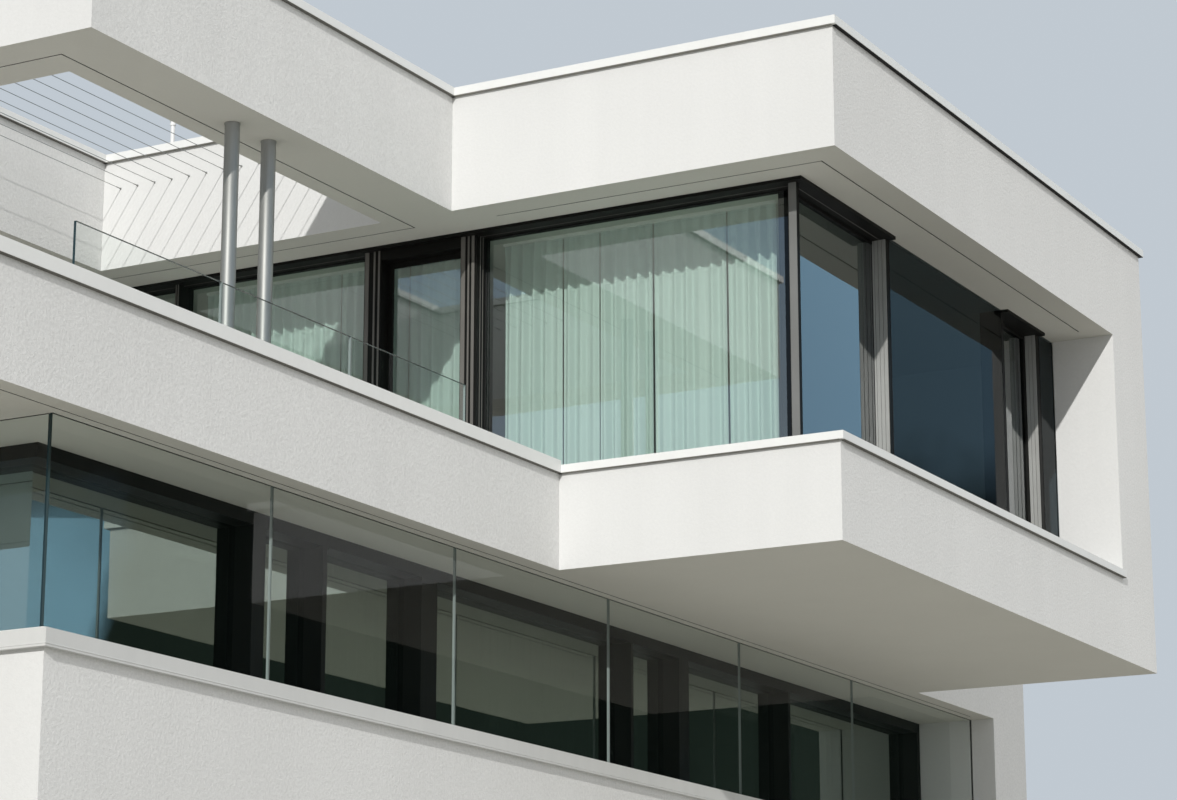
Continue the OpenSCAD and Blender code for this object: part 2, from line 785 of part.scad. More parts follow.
module roof_wires() {
    color("gray") for (i = [1 : wire_count])
        translate([court_x0 + i * wire_pitch, court_y0, roof_soffit_z + wire_z]) rotate([-90, 0, 0])
            cylinder(h = box_y - court_y0, d = wire_dia, $fn = 16);
}

module vent_pipe() {
    color("white") translate([court_x0 + pipe_x, box_y + pipe_y, roof_top_z]) cylinder(h = pipe_h, d = pipe_dia);
}

ground_slab();
front_wall();
wing_wall();
right_wall();
back_wall();
left_wall();
end_pier();
gallery_returns();
first_floor_slab();
lower_coping();
screen_glass();
first_rails();
first_posts();
first_glass();
first_curtains();
second_floor_slab();
terrace_parapet();
box_band();
terrace_coping();
sill_coping();
rail_glass();
upper_rails();
upper_posts();
upper_glass();
upper_curtain_right();
upper_curtain_left();
curtain_tracks();
box_pier();
box_end_wall();
upper_side_wall();
upper_back_wall();
upper_left_wall();
wing_upper_front();
wing_upper_side();
window_rails();
window_posts();
window_glass();
entrance_door();
roof_slab();
roof_frame();
cross_upstands();
long_upstands();
cross_copings();
long_copings();
frame_coping();
columns();
roof_wires();
vent_pipe();
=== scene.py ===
import json
import math

import bpy
import numpy as np
from bpy.types import Operator, Panel, PropertyGroup
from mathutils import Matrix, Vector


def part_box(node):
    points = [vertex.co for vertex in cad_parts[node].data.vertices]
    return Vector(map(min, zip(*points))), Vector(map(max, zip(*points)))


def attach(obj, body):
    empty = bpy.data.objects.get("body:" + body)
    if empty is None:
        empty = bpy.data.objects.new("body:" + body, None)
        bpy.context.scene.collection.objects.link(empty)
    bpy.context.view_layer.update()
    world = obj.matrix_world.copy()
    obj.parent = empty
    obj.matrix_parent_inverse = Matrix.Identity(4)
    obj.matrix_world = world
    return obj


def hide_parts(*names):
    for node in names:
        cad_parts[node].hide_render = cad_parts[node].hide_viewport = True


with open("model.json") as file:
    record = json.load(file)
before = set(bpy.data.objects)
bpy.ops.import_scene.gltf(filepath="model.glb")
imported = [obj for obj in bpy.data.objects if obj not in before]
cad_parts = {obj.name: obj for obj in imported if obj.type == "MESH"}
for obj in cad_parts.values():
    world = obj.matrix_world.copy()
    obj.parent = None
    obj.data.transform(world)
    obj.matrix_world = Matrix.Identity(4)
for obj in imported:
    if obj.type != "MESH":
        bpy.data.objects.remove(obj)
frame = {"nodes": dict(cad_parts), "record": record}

bl_info = {
    "name": "Detached house",
    "version": (1, 0, 0),
    "blender": (4, 5, 0),
    "location": "3D View > Sidebar > House",
    "description": "Finishes and fine pieces of a white rendered house with flat roofs",
    "category": "Object",
}

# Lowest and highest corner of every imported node, in metres
LOW = {name: np.array(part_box(name)[0]) for name in frame["nodes"]}
HIGH = {name: np.array(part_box(name)[1]) for name in frame["nodes"]}

# Planes of the house, from its nodes
LEFT = LOW["left_wall"][0]
RIGHT = HIGH["box_band"][0]
FRONT = LOW["terrace_parapet"][1]
BACK = HIGH["back_wall"][1]
BOX_Y = LOW["box_band"][1]
BOX_END_Y = HIGH["box_end_wall"][1]
BODY = HIGH["terrace_parapet"][0]
LOWER_X = HIGH["right_wall"][0]
LOWER_Y = LOW["front_wall"][1]
INNER_X = LOW["right_wall"][0]
END_PIER_Y = LOW["end_pier"][1]
WING = HIGH["wing_wall"][0]
WING_Y = LOW["wing_upper_front"][1]
SECOND_FLOOR = HIGH["second_floor_slab"][2]
SOFFIT = LOW["second_floor_slab"][2]
ROOF_SOFFIT = LOW["roof_slab"][2]
ROOF_TOP = HIGH["roof_slab"][2]
FIRST_FLOOR = HIGH["first_floor_slab"][2]
GROUND_FLOOR = HIGH["ground_slab"][2]
PANE_X = HIGH["upper_glass"][0]
POST_Y = LOW["upper_posts"][1]
SCREEN_X = HIGH["screen_glass"][0]
SCREEN_Y = LOW["screen_glass"][1]
FRAME_X = HIGH["roof_frame"][0]
BOX_PIER_Y = LOW["box_pier"][1]
COURT_X0, COURT_X1 = -0.27, 2.73
COURT_Y0 = LOW["roof_wires"][1]

# Sizes of the wall windows and of the door, as in the part
WALL = 0.4
WINDOW_W, WINDOW_H, WINDOW_SILL, WINDOW_IN = 2.4, 1.5, 0.75, 0.15
FRAME_W, CASEMENT_W = 0.07, 0.8
DOOR_W, DOOR_H, DOOR_FROM_PIER, DOOR_GAP = 1.24, 2.3, 1.5, 0.9
ROW_START = 2.6
HEAD_H, SILL_RAIL_H, LEAF_HEAD_H = 0.028, 0.06, 0.088
RECESS, THIN_JAMB, WIDE_JAMB = 0.137, 0.05, 0.07
UPSTAND = 0.3


def window_places():
    """Middle of each wall window's sill, and the turn of its wall in degrees."""
    floors = (GROUND_FLOOR, FIRST_FLOOR, SECOND_FLOOR)
    places = [(LEFT, y, z + WINDOW_SILL, -90) for z in floors
              for y in np.linspace(BACK - ROW_START, WING_Y + ROW_START, 3)]
    door_side = INNER_X - DOOR_FROM_PIER - (DOOR_W + WINDOW_W) / 2 - DOOR_GAP
    places += [(x, BACK, z + WINDOW_SILL, 180) for z in floors
               for x in np.linspace(LEFT + ROW_START, door_side, 2)]
    places += [(LOWER_X, y, GROUND_FLOOR + WINDOW_SILL, 90)
               for y in np.linspace(END_PIER_Y - ROW_START, LOWER_Y + ROW_START, 3)]
    places.append((LOWER_X - ROW_START, LOWER_Y, GROUND_FLOOR + WINDOW_SILL, 0))
    places += [(LEFT + ROW_START, LOWER_Y, z + WINDOW_SILL, 0) for z in floors[:2]]
    places.append((LEFT + ROW_START, WING_Y, SECOND_FLOOR + WINDOW_SILL, 0))
    return places


# Surfaces, as arrays

def grid_quads(rows, columns, close_columns=False):
    """Quads between neighbouring points of a grid, numbered row by row."""
    i = np.arange(rows - 1)[:, None]
    j = np.arange(columns if close_columns else columns - 1)[None, :]
    k = (j + 1) % columns
    corners = (i * columns + j, i * columns + k, (i + 1) * columns + k, (i + 1) * columns + j)
    return np.stack(np.broadcast_arrays(*corners), -1).reshape(-1, 4)


def tube_faces(rings, around, count=1):
    """Faces of closed tubes that follow each other: the quads round each and a cap at both its ends."""
    quads = grid_quads(rings, around, close_columns=True)
    size = rings * around
    caps = (np.arange(around)[::-1], np.arange(size - around, size))
    faces = []
    for start in range(0, size * count, size):
        faces += (quads + start).tolist() + [(cap + start).tolist() for cap in caps]
    return faces


def chamfered_bars(boxes, axis, chamfer):
    """Bars with an eight-cornered section: each box's rectangle with its corners cut, along one axis."""
    boxes = np.asarray(boxes, float)
    a, b = [i for i in range(3) if i != axis]
    low, high = boxes[:, 0], boxes[:, 1]
    c = np.minimum(chamfer, 0.45 * np.minimum(high[:, a] - low[:, a], high[:, b] - low[:, b]))
    points = np.zeros((len(boxes), 2, 8, 3))
    for i, quarter in ((a, 0), (b, 2)):
        start, end = low[:, i], high[:, i]
        ring = np.stack([start + c, end - c, end, end, end - c, start + c, start, start], 1)
        points[..., i] = np.roll(ring, quarter, 1)[:, None]
    points[:, 0, :, axis] = low[:, axis, None]
    points[:, 1, :, axis] = high[:, axis, None]
    return points.reshape(-1, 3), tube_faces(2, 8, len(boxes))


def turned(profile, centres, axis=2, around=32):
    """Surfaces of revolution: the profile's radius and height turned about one axis at each centre."""
    profile = np.asarray(profile, float)
    angle = np.arange(around) * 2 * math.pi / around
    a, b = [i for i in range(3) if i != axis]
    points = np.zeros((len(centres), len(profile), around, 3))
    points[..., a] = profile[None, :, None, 0] * np.cos(angle)
    points[..., b] = profile[None, :, None, 0] * np.sin(angle)
    points[..., axis] = profile[None, :, None, 1]
    points += np.asarray(centres, float)[:, None, None, :]
    return points.reshape(-1, 3), tube_faces(len(profile), around, len(centres))


def carried(profile, path, level=0.0):
    """A closed profile (out to the path's right, up) carried along a level path, mitred at its corners."""
    profile, path = np.asarray(profile, float), np.asarray(path, float)
    run = np.diff(path, axis=0)
    run /= np.linalg.norm(run, axis=1)[:, None]
    right = np.stack([run[:, 1], -run[:, 0]], 1)
    before = np.vstack([right[:1], right])
    after = np.vstack([right, right[-1:]])
    mitre = before + after
    mitre /= (1 + (before * after).sum(1))[:, None]
    points = np.zeros((len(path), len(profile), 3))
    points[..., :2] = path[:, None] + profile[None, :, :1] * mitre[:, None]
    points[..., 2] = level + profile[:, 1]
    return points.reshape(-1, 3), tube_faces(len(path), len(profile))


def profile_from(level, radius, steps):
    """A profile to be turned: each step's share of the radius, and its height above the level."""
    return [(radius * share, level + height) for share, height in steps]


def sash(low, high, run, width, chamfer):
    """Four bars round a rectangle along x or y: stiles of its full height, and rails between them."""
    (x0, y0, z0), (x1, y1, z1) = low, high
    if run == 0:
        stiles = [[(x, y0, z0), (x + width, y1, z1)] for x in (x0, x1 - width)]
        rails = [[(x0 + width, y0, z), (x1 - width, y1, z + width)] for z in (z0, z1 - width)]
    else:
        stiles = [[(x0, y, z0), (x1, y + width, z1)] for y in (y0, y1 - width)]
        rails = [[(x0, y0 + width, z), (x1, y1 - width, z + width)] for z in (z0, z1 - width)]
    return joined([chamfered_bars(stiles, 2, chamfer), chamfered_bars(rails, run, chamfer)])


def joined(parts):
    """Several sets of points and faces as one."""
    points, faces, start = [], [], 0
    for part_points, part_faces in parts:
        points.append(part_points)
        faces += [[i + start for i in face] for face in part_faces]
        start += len(part_points)
    return np.vstack(points), faces


def stood(points, place):
    """Points of a wall window (along the wall, into it, up) moved to their place in the house."""
    turn = math.radians(place[3])
    c, s = math.cos(turn), math.sin(turn)
    x, y, z = np.asarray(points, float).T
    return np.stack([x * c - y * s + place[0], x * s + y * c + place[1], z + place[2]], 1)


def corners_of(mesh):
    """A mesh's points as rows of x, y and z."""
    points = np.zeros(len(mesh.vertices) * 3)
    mesh.vertices.foreach_get("co", points)
    return points.reshape(-1, 3)


def placed(name, data):
    """A new object of the scene."""
    thing = bpy.data.objects.new(name, data)
    bpy.context.scene.collection.objects.link(thing)
    return thing


def add_piece(name, part, finish, soft=False):
    """Makes a piece that rides on the house: closed with its faces outwards, or soft, open and smooth."""
    points, faces = part
    mesh = bpy.data.meshes.new(name)
    mesh.from_pydata(np.asarray(points).tolist(), [], faces)
    if soft:
        mesh.polygons.foreach_set("use_smooth", np.ones(len(mesh.polygons), bool))
    else:
        mesh.calc_loop_triangles()
        corners = np.zeros(len(mesh.loop_triangles) * 3, np.int32)
        mesh.loop_triangles.foreach_get("vertices", corners)
        a, b, c = np.asarray(points)[corners].reshape(-1, 3, 3).transpose(1, 0, 2)
        if np.einsum("ij,ij->i", a, np.cross(b, c)).sum() < 0:
            mesh.flip_normals()
    mesh.materials.append(FINISHES[finish])
    piece = placed(name, mesh)
    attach(piece, "root")
    return piece


# Finishes, as shader nodes

def scaled(colour, share):
    """A colour made darker or lighter by one factor."""
    return tuple(share * v for v in colour)


class Wire:
    """A shader socket. Python's signs on it add Math nodes to its tree."""

    def __init__(self, finish, socket):
        self.finish, self.socket = finish, socket

    def math(self, operation, *values):
        return self.finish.add("ShaderNodeMath", {"operation": operation}, dict(enumerate(values)))

    def __add__(self, other):
        return self.math("ADD", self, other)

    def __sub__(self, other):
        return self.math("SUBTRACT", self, other)

    def __rsub__(self, other):
        return self.math("SUBTRACT", other, self)

    def __mul__(self, other):
        return self.math("MULTIPLY", self, other)

    def __gt__(self, other):
        return self.math("GREATER_THAN", self, other)

    def __lt__(self, other):
        return self.math("LESS_THAN", self, other)

    __radd__ = __add__
    __rmul__ = __mul__

    def size(self):
        return self.math("ABSOLUTE", self)

    def clamped(self):
        return self.finish.add("ShaderNodeClamp", {}, {"Value": self})


class Finish:
    """A material and its node tree."""

    def __init__(self, name, owner=None):
        self.owner = owner or bpy.data.materials.new(name)
        self.owner.use_nodes = True
        self.tree = self.owner.node_tree
        self.tree.nodes.clear()

    def add(self, kind, settings=None, inputs=None, out=0):
        """Adds any node: its settings first, then the values or links of its sockets."""
        node = self.tree.nodes.new(kind)
        for name, value in (settings or {}).items():
            setattr(node, name, value)
        for name, value in (inputs or {}).items():
            if isinstance(value, Wire):
                self.tree.links.new(value.socket, node.inputs[name])
            elif isinstance(value, (tuple, list)) and len(value) == 3 and node.inputs[name].type == "RGBA":
                node.inputs[name].default_value = (*value, 1)
            else:
                node.inputs[name].default_value = value
        return Wire(self, node.outputs[out]) if len(node.outputs) else None

    def place(self):
        return self.add("ShaderNodeTexCoord", out="Object")

    def stretched(self, vector, scale):
        return self.add("ShaderNodeMapping", {}, {"Vector": vector, "Scale": scale})

    def noise(self, vector, scale, detail=2.0, roughness=0.5):
        return self.add("ShaderNodeTexNoise", {}, {"Vector": vector, "Scale": scale, "Detail": detail,
                                                   "Roughness": roughness})

    def parts(self, vector):
        node = self.add("ShaderNodeSeparateXYZ", {}, {"Vector": vector}).socket.node
        return [Wire(self, node.outputs[i]) for i in range(3)]

    def facing(self):
        """The surface's own direction as three numbers."""
        return self.parts(self.add("ShaderNodeNewGeometry", out="Normal"))

    def tones(self, share, first, second):
        """The first colour where the share is 0 and the second where it is 1."""
        first, second = [(*c, 1) if isinstance(c, tuple) else c for c in (first, second)]
        return self.add("ShaderNodeMix", {"data_type": "RGBA"}, {0: share, 6: first, 7: second}, out=2)

    def bump(self, height, strength, distance):
        return self.add("ShaderNodeBump", {}, {"Height": height, "Strength": strength, "Distance": distance})

    def mixed(self, share, first, second):
        """The first shader where the share is 0 and the second where it is 1."""
        return self.add("ShaderNodeMixShader", {}, {0: share, 1: first, 2: second})

    def surface(self, **inputs):
        names = {"colour": "Base Color", "metal": "Metallic", "rough": "Roughness", "normal": "Normal",
                 "shine": "Specular IOR Level", "sheen": "Sheen Weight"}
        return self.add("ShaderNodeBsdfPrincipled", {}, {names[k]: v for k, v in inputs.items()})

    def done(self, shader):
        self.add("ShaderNodeOutputMaterial", {}, {"Surface": shader})
        return self.owner


# Distance of the drip grooves' middle lines from the edges beside them
COURT_SIDE, COURT_FRONT, COURT_BACK, BOX_SIDE, BOX_FRONT, SLAB_EDGE = 0.177, 0.317, 0.257, 0.257, 0.310, 0.167
GROOVE_HALF, GROOVE_DEPTH = 0.012, 0.018

# Middle lines of the grooves in both undersides: their x or y, and the level of the underside
GROOVES_X = ((COURT_X0 - COURT_SIDE, ROOF_SOFFIT), (COURT_X1 + COURT_SIDE, ROOF_SOFFIT),
             (RIGHT - BOX_SIDE, ROOF_SOFFIT), (BODY - SLAB_EDGE, SOFFIT))
GROOVES_Y = ((COURT_Y0 - COURT_FRONT, ROOF_SOFFIT), (BOX_Y + COURT_BACK, ROOF_SOFFIT),
             (BOX_Y + BOX_FRONT, ROOF_SOFFIT), (FRONT + SLAB_EDGE, SOFFIT))


def groove_shade(place, nx, ny):
    """1 on the walls and the bottom of the drip grooves, where their shade is painted."""
    total = 0.0
    for lines, along, across in ((GROOVES_X, place[0], ny), (GROOVES_Y, place[1], nx)):
        for middle, level in lines:
            near = ((along - middle).size() < GROOVE_HALF) * (across.size() < 0.5)
            total = near * (place[2] > level + 0.001) * (place[2] < level + GROOVE_DEPTH) + total
    return total.clamped()


def rendered_wall(name, wall, soffit, floor):
    """White render: trowelled grain with painted shade in its low spots, faint patches and runs, a warmer
    underside, a floor tone on top and painted shade in the drip grooves.
    """
    f = Finish(name)
    place = f.place()
    nx, ny, up = f.facing()
    patches = f.noise(place, 0.45, 3.0, 0.55)
    runs = f.noise(f.stretched(place, (3.2, 3.2, 0.16)), 1.0, 3.0, 0.6)
    tint = (patches * 0.6 + runs * 0.4 - 0.36).clamped() * 2.6
    dark = scaled(wall, 0.935)
    colour = f.tones(tint.clamped(), dark, wall)
    mottle = f.noise(place, 1.1, 4.0, 0.6)
    under = f.tones(mottle, scaled(soffit, 0.92), soffit)
    colour = f.tones(up < -0.5, colour, under)
    colour = f.tones(up > 0.5, colour, f.tones(mottle, scaled(floor, 0.9), floor))
    grain = f.noise(place, 40.0, 4.0, 0.72) * 0.85 + f.noise(place, 150.0, 1.0) * 0.15
    # Partly real grain tone and partly painted shade: the grain's low spots are darkened, and on the front
    # faces and undersides the share of light spots is cut, so there the grain shows less and the render is
    # darkened more evenly. The same share scales the grain's bump.
    grain_relief_and_shade = 1 - (up < -0.5) * 0.8 - (ny < -0.5) * 0.7
    colour = f.tones(((grain - 0.38) * 3.5).clamped() * grain_relief_and_shade, f.tones(0.12, colour, (0.0, 0.0, 0.0)), colour)
    # Painted shade: the drip grooves' walls and bottom take a dark soffit tone.
    colour = f.tones(groove_shade(f.parts(place), nx, ny), colour, scaled(soffit, 0.22))
    normal = f.bump(grain * grain_relief_and_shade, 0.8, 0.0088)
    rough = f.noise(place, 9.0) * 0.08 + 0.86
    return f.done(f.surface(colour=colour, rough=rough, normal=normal, shine=0.25))


def powder_coat(name, colour, rough, wear):
    """Matt coated sheet metal with faint cloudiness and rain marks."""
    f = Finish(name)
    place = f.place()
    cloud = f.noise(place, 1.7, 3.0, 0.6)
    marks = f.noise(f.stretched(place, (9.0, 9.0, 1.1)), 1.0, 3.0, 0.65)
    share = ((cloud * 0.5 + marks * 0.5 - 0.3) * 2.2).clamped()
    tone = f.tones(share, scaled(colour, 1 - wear), colour)
    normal = f.bump(f.noise(place, 320.0, 1.0), 0.08, 0.001)
    return f.done(f.surface(colour=tone, rough=cloud * 0.12 + rough, normal=normal, shine=0.4))


def anodised(name, colour, rough, shine, metal=0.0):
    """Dark drawn profiles: fine lines along their length in the gloss, and a faint change of tone."""
    f = Finish(name)
    place = f.place()
    drawn = f.noise(f.stretched(place, (260.0, 260.0, 2.0)), 1.0, 1.0)
    tone = f.tones(f.noise(place, 2.3), scaled(colour, 0.8), scaled(colour, 1.2))
    normal = f.bump(drawn, 0.05, 0.0005)
    return f.done(f.surface(colour=tone, rough=drawn * 0.14 + rough, normal=normal, shine=shine, metal=metal))


def pane_of(f, place, tint, gain, least, ripple=0.04, coated=1.0, tone=(0.95, 0.98, 0.99)):
    """Flat glass: the tinted view through it, and a mirrored share that grows the flatter it is seen."""
    mirror = f.add("ShaderNodeFresnel", {}, {"IOR": 1.5})
    behind = f.add("ShaderNodeNewGeometry", out="Backfacing")
    share = ((mirror * gain + least) * (1 - behind) * coated).clamped()
    clear = f.add("ShaderNodeBsdfTransparent", {}, {"Color": tint})
    waves = f.bump(f.noise(place, 0.9, 1.0), ripple, 0.012)
    shine = f.surface(colour=tone, metal=1.0, rough=0.012, normal=waves)
    return f.mixed(share, clear, shine)


def glazing(name, tint, gain, least):
    """Window glass with a mirroring coat, bluer and stronger on the panes that face the front."""
    f = Finish(name)
    place = f.place()
    ny = f.facing()[1]
    side_pane = pane_of(f, place, tint, gain, least, tone=(0.88, 0.985, 0.90))
    front_pane = pane_of(f, place, tint, gain, least + 0.07, tone=(0.74, 0.97, 1.0))
    return f.done(f.mixed(ny < -0.5, side_pane, front_pane))


# Width of the band of painted shade in the glass at the glazed corner,
# and how far behind the flush panes the coat begins
CORNER_SHADE_W, FLUSH_DEPTH = 0.180, 0.045


def upper_glazing(name, tint, dark):
    """Upper glass: coated in the recessed windows, with painted shade as a darker tint in the side panes
    and a near-black band at the corner, deep tinted and less mirroring in the flush panes.
    """
    f = Finish(name)
    place = f.place()
    ny = f.facing()[1]
    front = ny.size() > 0.5
    # Painted shade: the side panes get a darker tint than the front panes, which darkens the view through
    # them.
    side_pane = pane_of(f, place, scaled(tint, 0.6), 2.0, 0.0)
    # Painted shade: the glass beside the glazed corner is tinted nearly black and keeps little of its coat.
    corner_shade = f.parts(place)[0] > PANE_X - CORNER_SHADE_W
    corner_shade_tint = f.tones(corner_shade, tint, (0.10, 0.11, 0.12))
    front_pane = pane_of(f, place, corner_shade_tint, 2.0, 0.09, coated=1 - corner_shade * 0.85)
    coated = f.mixed(front, side_pane, front_pane)
    deep = pane_of(f, place, dark, 0.36, 0.0)
    flush = f.parts(place)[0] > PANE_X - FLUSH_DEPTH
    return f.done(f.mixed(flush, coated, deep))


def free_glazing(name, tint, dark_edge, highlight_edge):
    """Clear free-standing glass: dark green cut edges, with a painted highlight where they face the front."""
    f = Finish(name)
    place = f.place()
    pane = pane_of(f, place, tint, 0.6, 0.0, 0.02)
    x, y = f.parts(place)[:2]
    nx, ny, nz = f.facing()
    flank = x > SCREEN_X - 0.025
    across = (ny.size() > 0.5) * flank + (nx.size() > 0.5) * (1 - flank)
    ends = (across + (nz.size() > 0.5)).clamped()
    # Painted highlight: the cut edges that face the front, toward the key light, are lighter, away from the
    # front row of the screen.
    front_edge_highlight = (ny < -0.5) * (y > SCREEN_Y + 0.1)
    band = f.surface(colour=f.tones(front_edge_highlight, dark_edge, highlight_edge), rough=0.15, shine=0.5)
    return f.done(f.mixed(ends, pane, band))


def sheer_cloth(name, colour):
    """Sheer curtain cloth: a fine plain weave on the cloth's own map, some light passing through."""
    f = Finish(name)
    uv = f.add("ShaderNodeTexCoord", out="UV")
    warp = f.noise(f.stretched(uv, (420.0, 12.0, 1.0)), 1.0, 1.0)
    weft = f.noise(f.stretched(uv, (12.0, 420.0, 1.0)), 1.0, 1.0)
    weave = warp * 0.5 + weft * 0.5
    tone = f.tones(weave, scaled(colour, 0.9), colour)
    normal = f.bump(weave, 0.15, 0.0008)
    cloth = f.surface(colour=tone, rough=0.85, normal=normal, sheen=0.1)
    glow = f.add("ShaderNodeBsdfTranslucent", {}, {"Color": tone})
    return f.done(f.mixed(0.25, cloth, glow))


def brushed_steel(name, colour, rough):
    """Round steel with long brush lines and cloudy handling marks."""
    f = Finish(name)
    place = f.place()
    lines = f.noise(f.stretched(place, (90.0, 90.0, 1.4)), 1.0)
    cloud = f.noise(f.stretched(place, (14.0, 14.0, 5.0)), 1.0, 4.0, 0.7)
    tone = f.tones((lines * 0.4 + cloud * 0.6).clamped(), scaled(colour, 0.72), scaled(colour, 1.15))
    normal = f.bump(lines, 0.12, 0.0008)
    return f.done(f.surface(colour=tone, metal=0.8, rough=cloud * 0.12 + rough, normal=normal))


def loose_gravel(name, colour):
    """Rounded gravel on a roof: cells in several greys with deep joints darkened as painted shade."""
    f = Finish(name)
    place = f.place()
    cells = f.add("ShaderNodeTexVoronoi", {}, {"Vector": place, "Scale": 34.0}, out="Distance")
    grey = f.parts(Wire(f, cells.socket.node.outputs["Color"]))[0]
    tone = f.tones(grey, scaled(colour, 0.55), scaled(colour, 1.2))
    # Painted shade: each cell darkens towards its edge, where the gaps between the stones lie.
    tone = f.tones((cells * 1.7 - 0.5).clamped(), tone, scaled(colour, 0.25))
    return f.done(f.surface(colour=tone, rough=0.9, normal=f.bump(1 - cells, 0.9, 0.02), shine=0.2))


def paving(name, colour):
    """Fair-faced concrete paving with small pores and a slow change of tone."""
    f = Finish(name)
    place = f.place()
    pores = f.noise(place, 90.0, 2.0, 0.6)
    tone = f.tones(f.noise(place, 1.3, 4.0, 0.6), scaled(colour, 0.8), scaled(colour, 1.1))
    normal = f.bump(pores, 0.3, 0.002)
    return f.done(f.surface(colour=tone, rough=pores * 0.1 + 0.8, normal=normal, shine=0.25))


# The materials by name, made by the first operator
FINISHES = {}


def colour_prop(name, text, value):
    return bpy.props.FloatVectorProperty(name=name, description=text, default=value, subtype="COLOR", size=3,
                                         min=0, max=1)


def number_prop(name, text, value, **more):
    return bpy.props.FloatProperty(name=name, description=text, default=value, **more)


def length_prop(name, text, value):
    return number_prop(name, text, value, unit="LENGTH", min=0)


class HouseColours(PropertyGroup):
    """Colours of the finishes."""
    wall: colour_prop("Render", "White render of the walls", (0.83, 0.832, 0.822))
    soffit: colour_prop("Soffits", "Smooth undersides of the slabs", (0.78, 0.765, 0.70))
    floor: colour_prop("Floors", "Screed on the floors", (0.42, 0.41, 0.39))
    coping: colour_prop("Copings", "Coated sheet metal of the copings", (0.82, 0.825, 0.81))
    frame: colour_prop("Frames", "Dark window frames", (0.009, 0.009, 0.008))
    trim: colour_prop("Frame ribs", "Lighter ribs on the posts", (0.155, 0.148, 0.135))
    jamb: colour_prop("Jambs", "Pale covers of the jambs", (0.34, 0.34, 0.325))
    window: colour_prop("Window glass", "Tint of the windows' glass", (0.90, 0.95, 0.925))
    screen: colour_prop("Screen glass", "Tint of the free-standing glass", (0.978, 0.992, 0.986))
    curtain: colour_prop("Curtains", "Sheer cloth", (0.81, 0.89, 0.87))
    steel: colour_prop("Steel", "Columns and wires", (0.34, 0.34, 0.32))
    door: colour_prop("Door", "Painted door leaf", (0.055, 0.06, 0.065))
    gravel: colour_prop("Gravel", "Gravel on the roofs", (0.36, 0.35, 0.33))
    paving: colour_prop("Paving", "Concrete paving of the terrace", (0.72, 0.71, 0.68))


class HouseSizes(PropertyGroup):
    """Sizes of the fine pieces."""
    pleat: length_prop("Pleat", "Width of one fold of a curtain", 0.115)
    fold: length_prop("Fold depth", "Depth of a curtain's folds, from middle to crest", 0.038)
    coping_over: length_prop("Coping overhang", "Reach of the upper copings in front of the wall", 0.04)
    column_dia: length_prop("Column", "Diameter of the columns", 0.12)
    rib: length_prop("Rib", "How far the ribs stand in front of a post", 0.008)
    paver: length_prop("Paver", "Side of one paving slab", 0.6)
    paver_gap: length_prop("Paving joint", "Gap between two paving slabs", 0.006)
    paver_t: length_prop("Paver thickness", "Thickness of the paving slabs", 0.03)
    gravel_t: length_prop("Gravel depth", "Depth of the gravel on the roofs", 0.045)
    sill_nose: length_prop("Sill nose", "Reach of a window sill in front of the wall", 0.034)
    seal: length_prop("Seal", "Width of the rubber seal round a pane", 0.009)


class StudioSettings(PropertyGroup):
    """Light and camera."""
    sun: number_prop("Key light", "Strength of the key light", 2.60, min=0)
    sun_angle: number_prop("Softness", "Angle over which the key light is spread", math.radians(0.6),
                           subtype="ANGLE")
    fill: number_prop("Fill light", "Strength of the even light", 1.0, min=0)
    lens: number_prop("Lens", "Focal length in millimetres", 95.5, min=10)


# The groups of settings and their names in the scene
GROUPS = {"house_colours": HouseColours, "house_sizes": HouseSizes, "house_studio": StudioSettings}


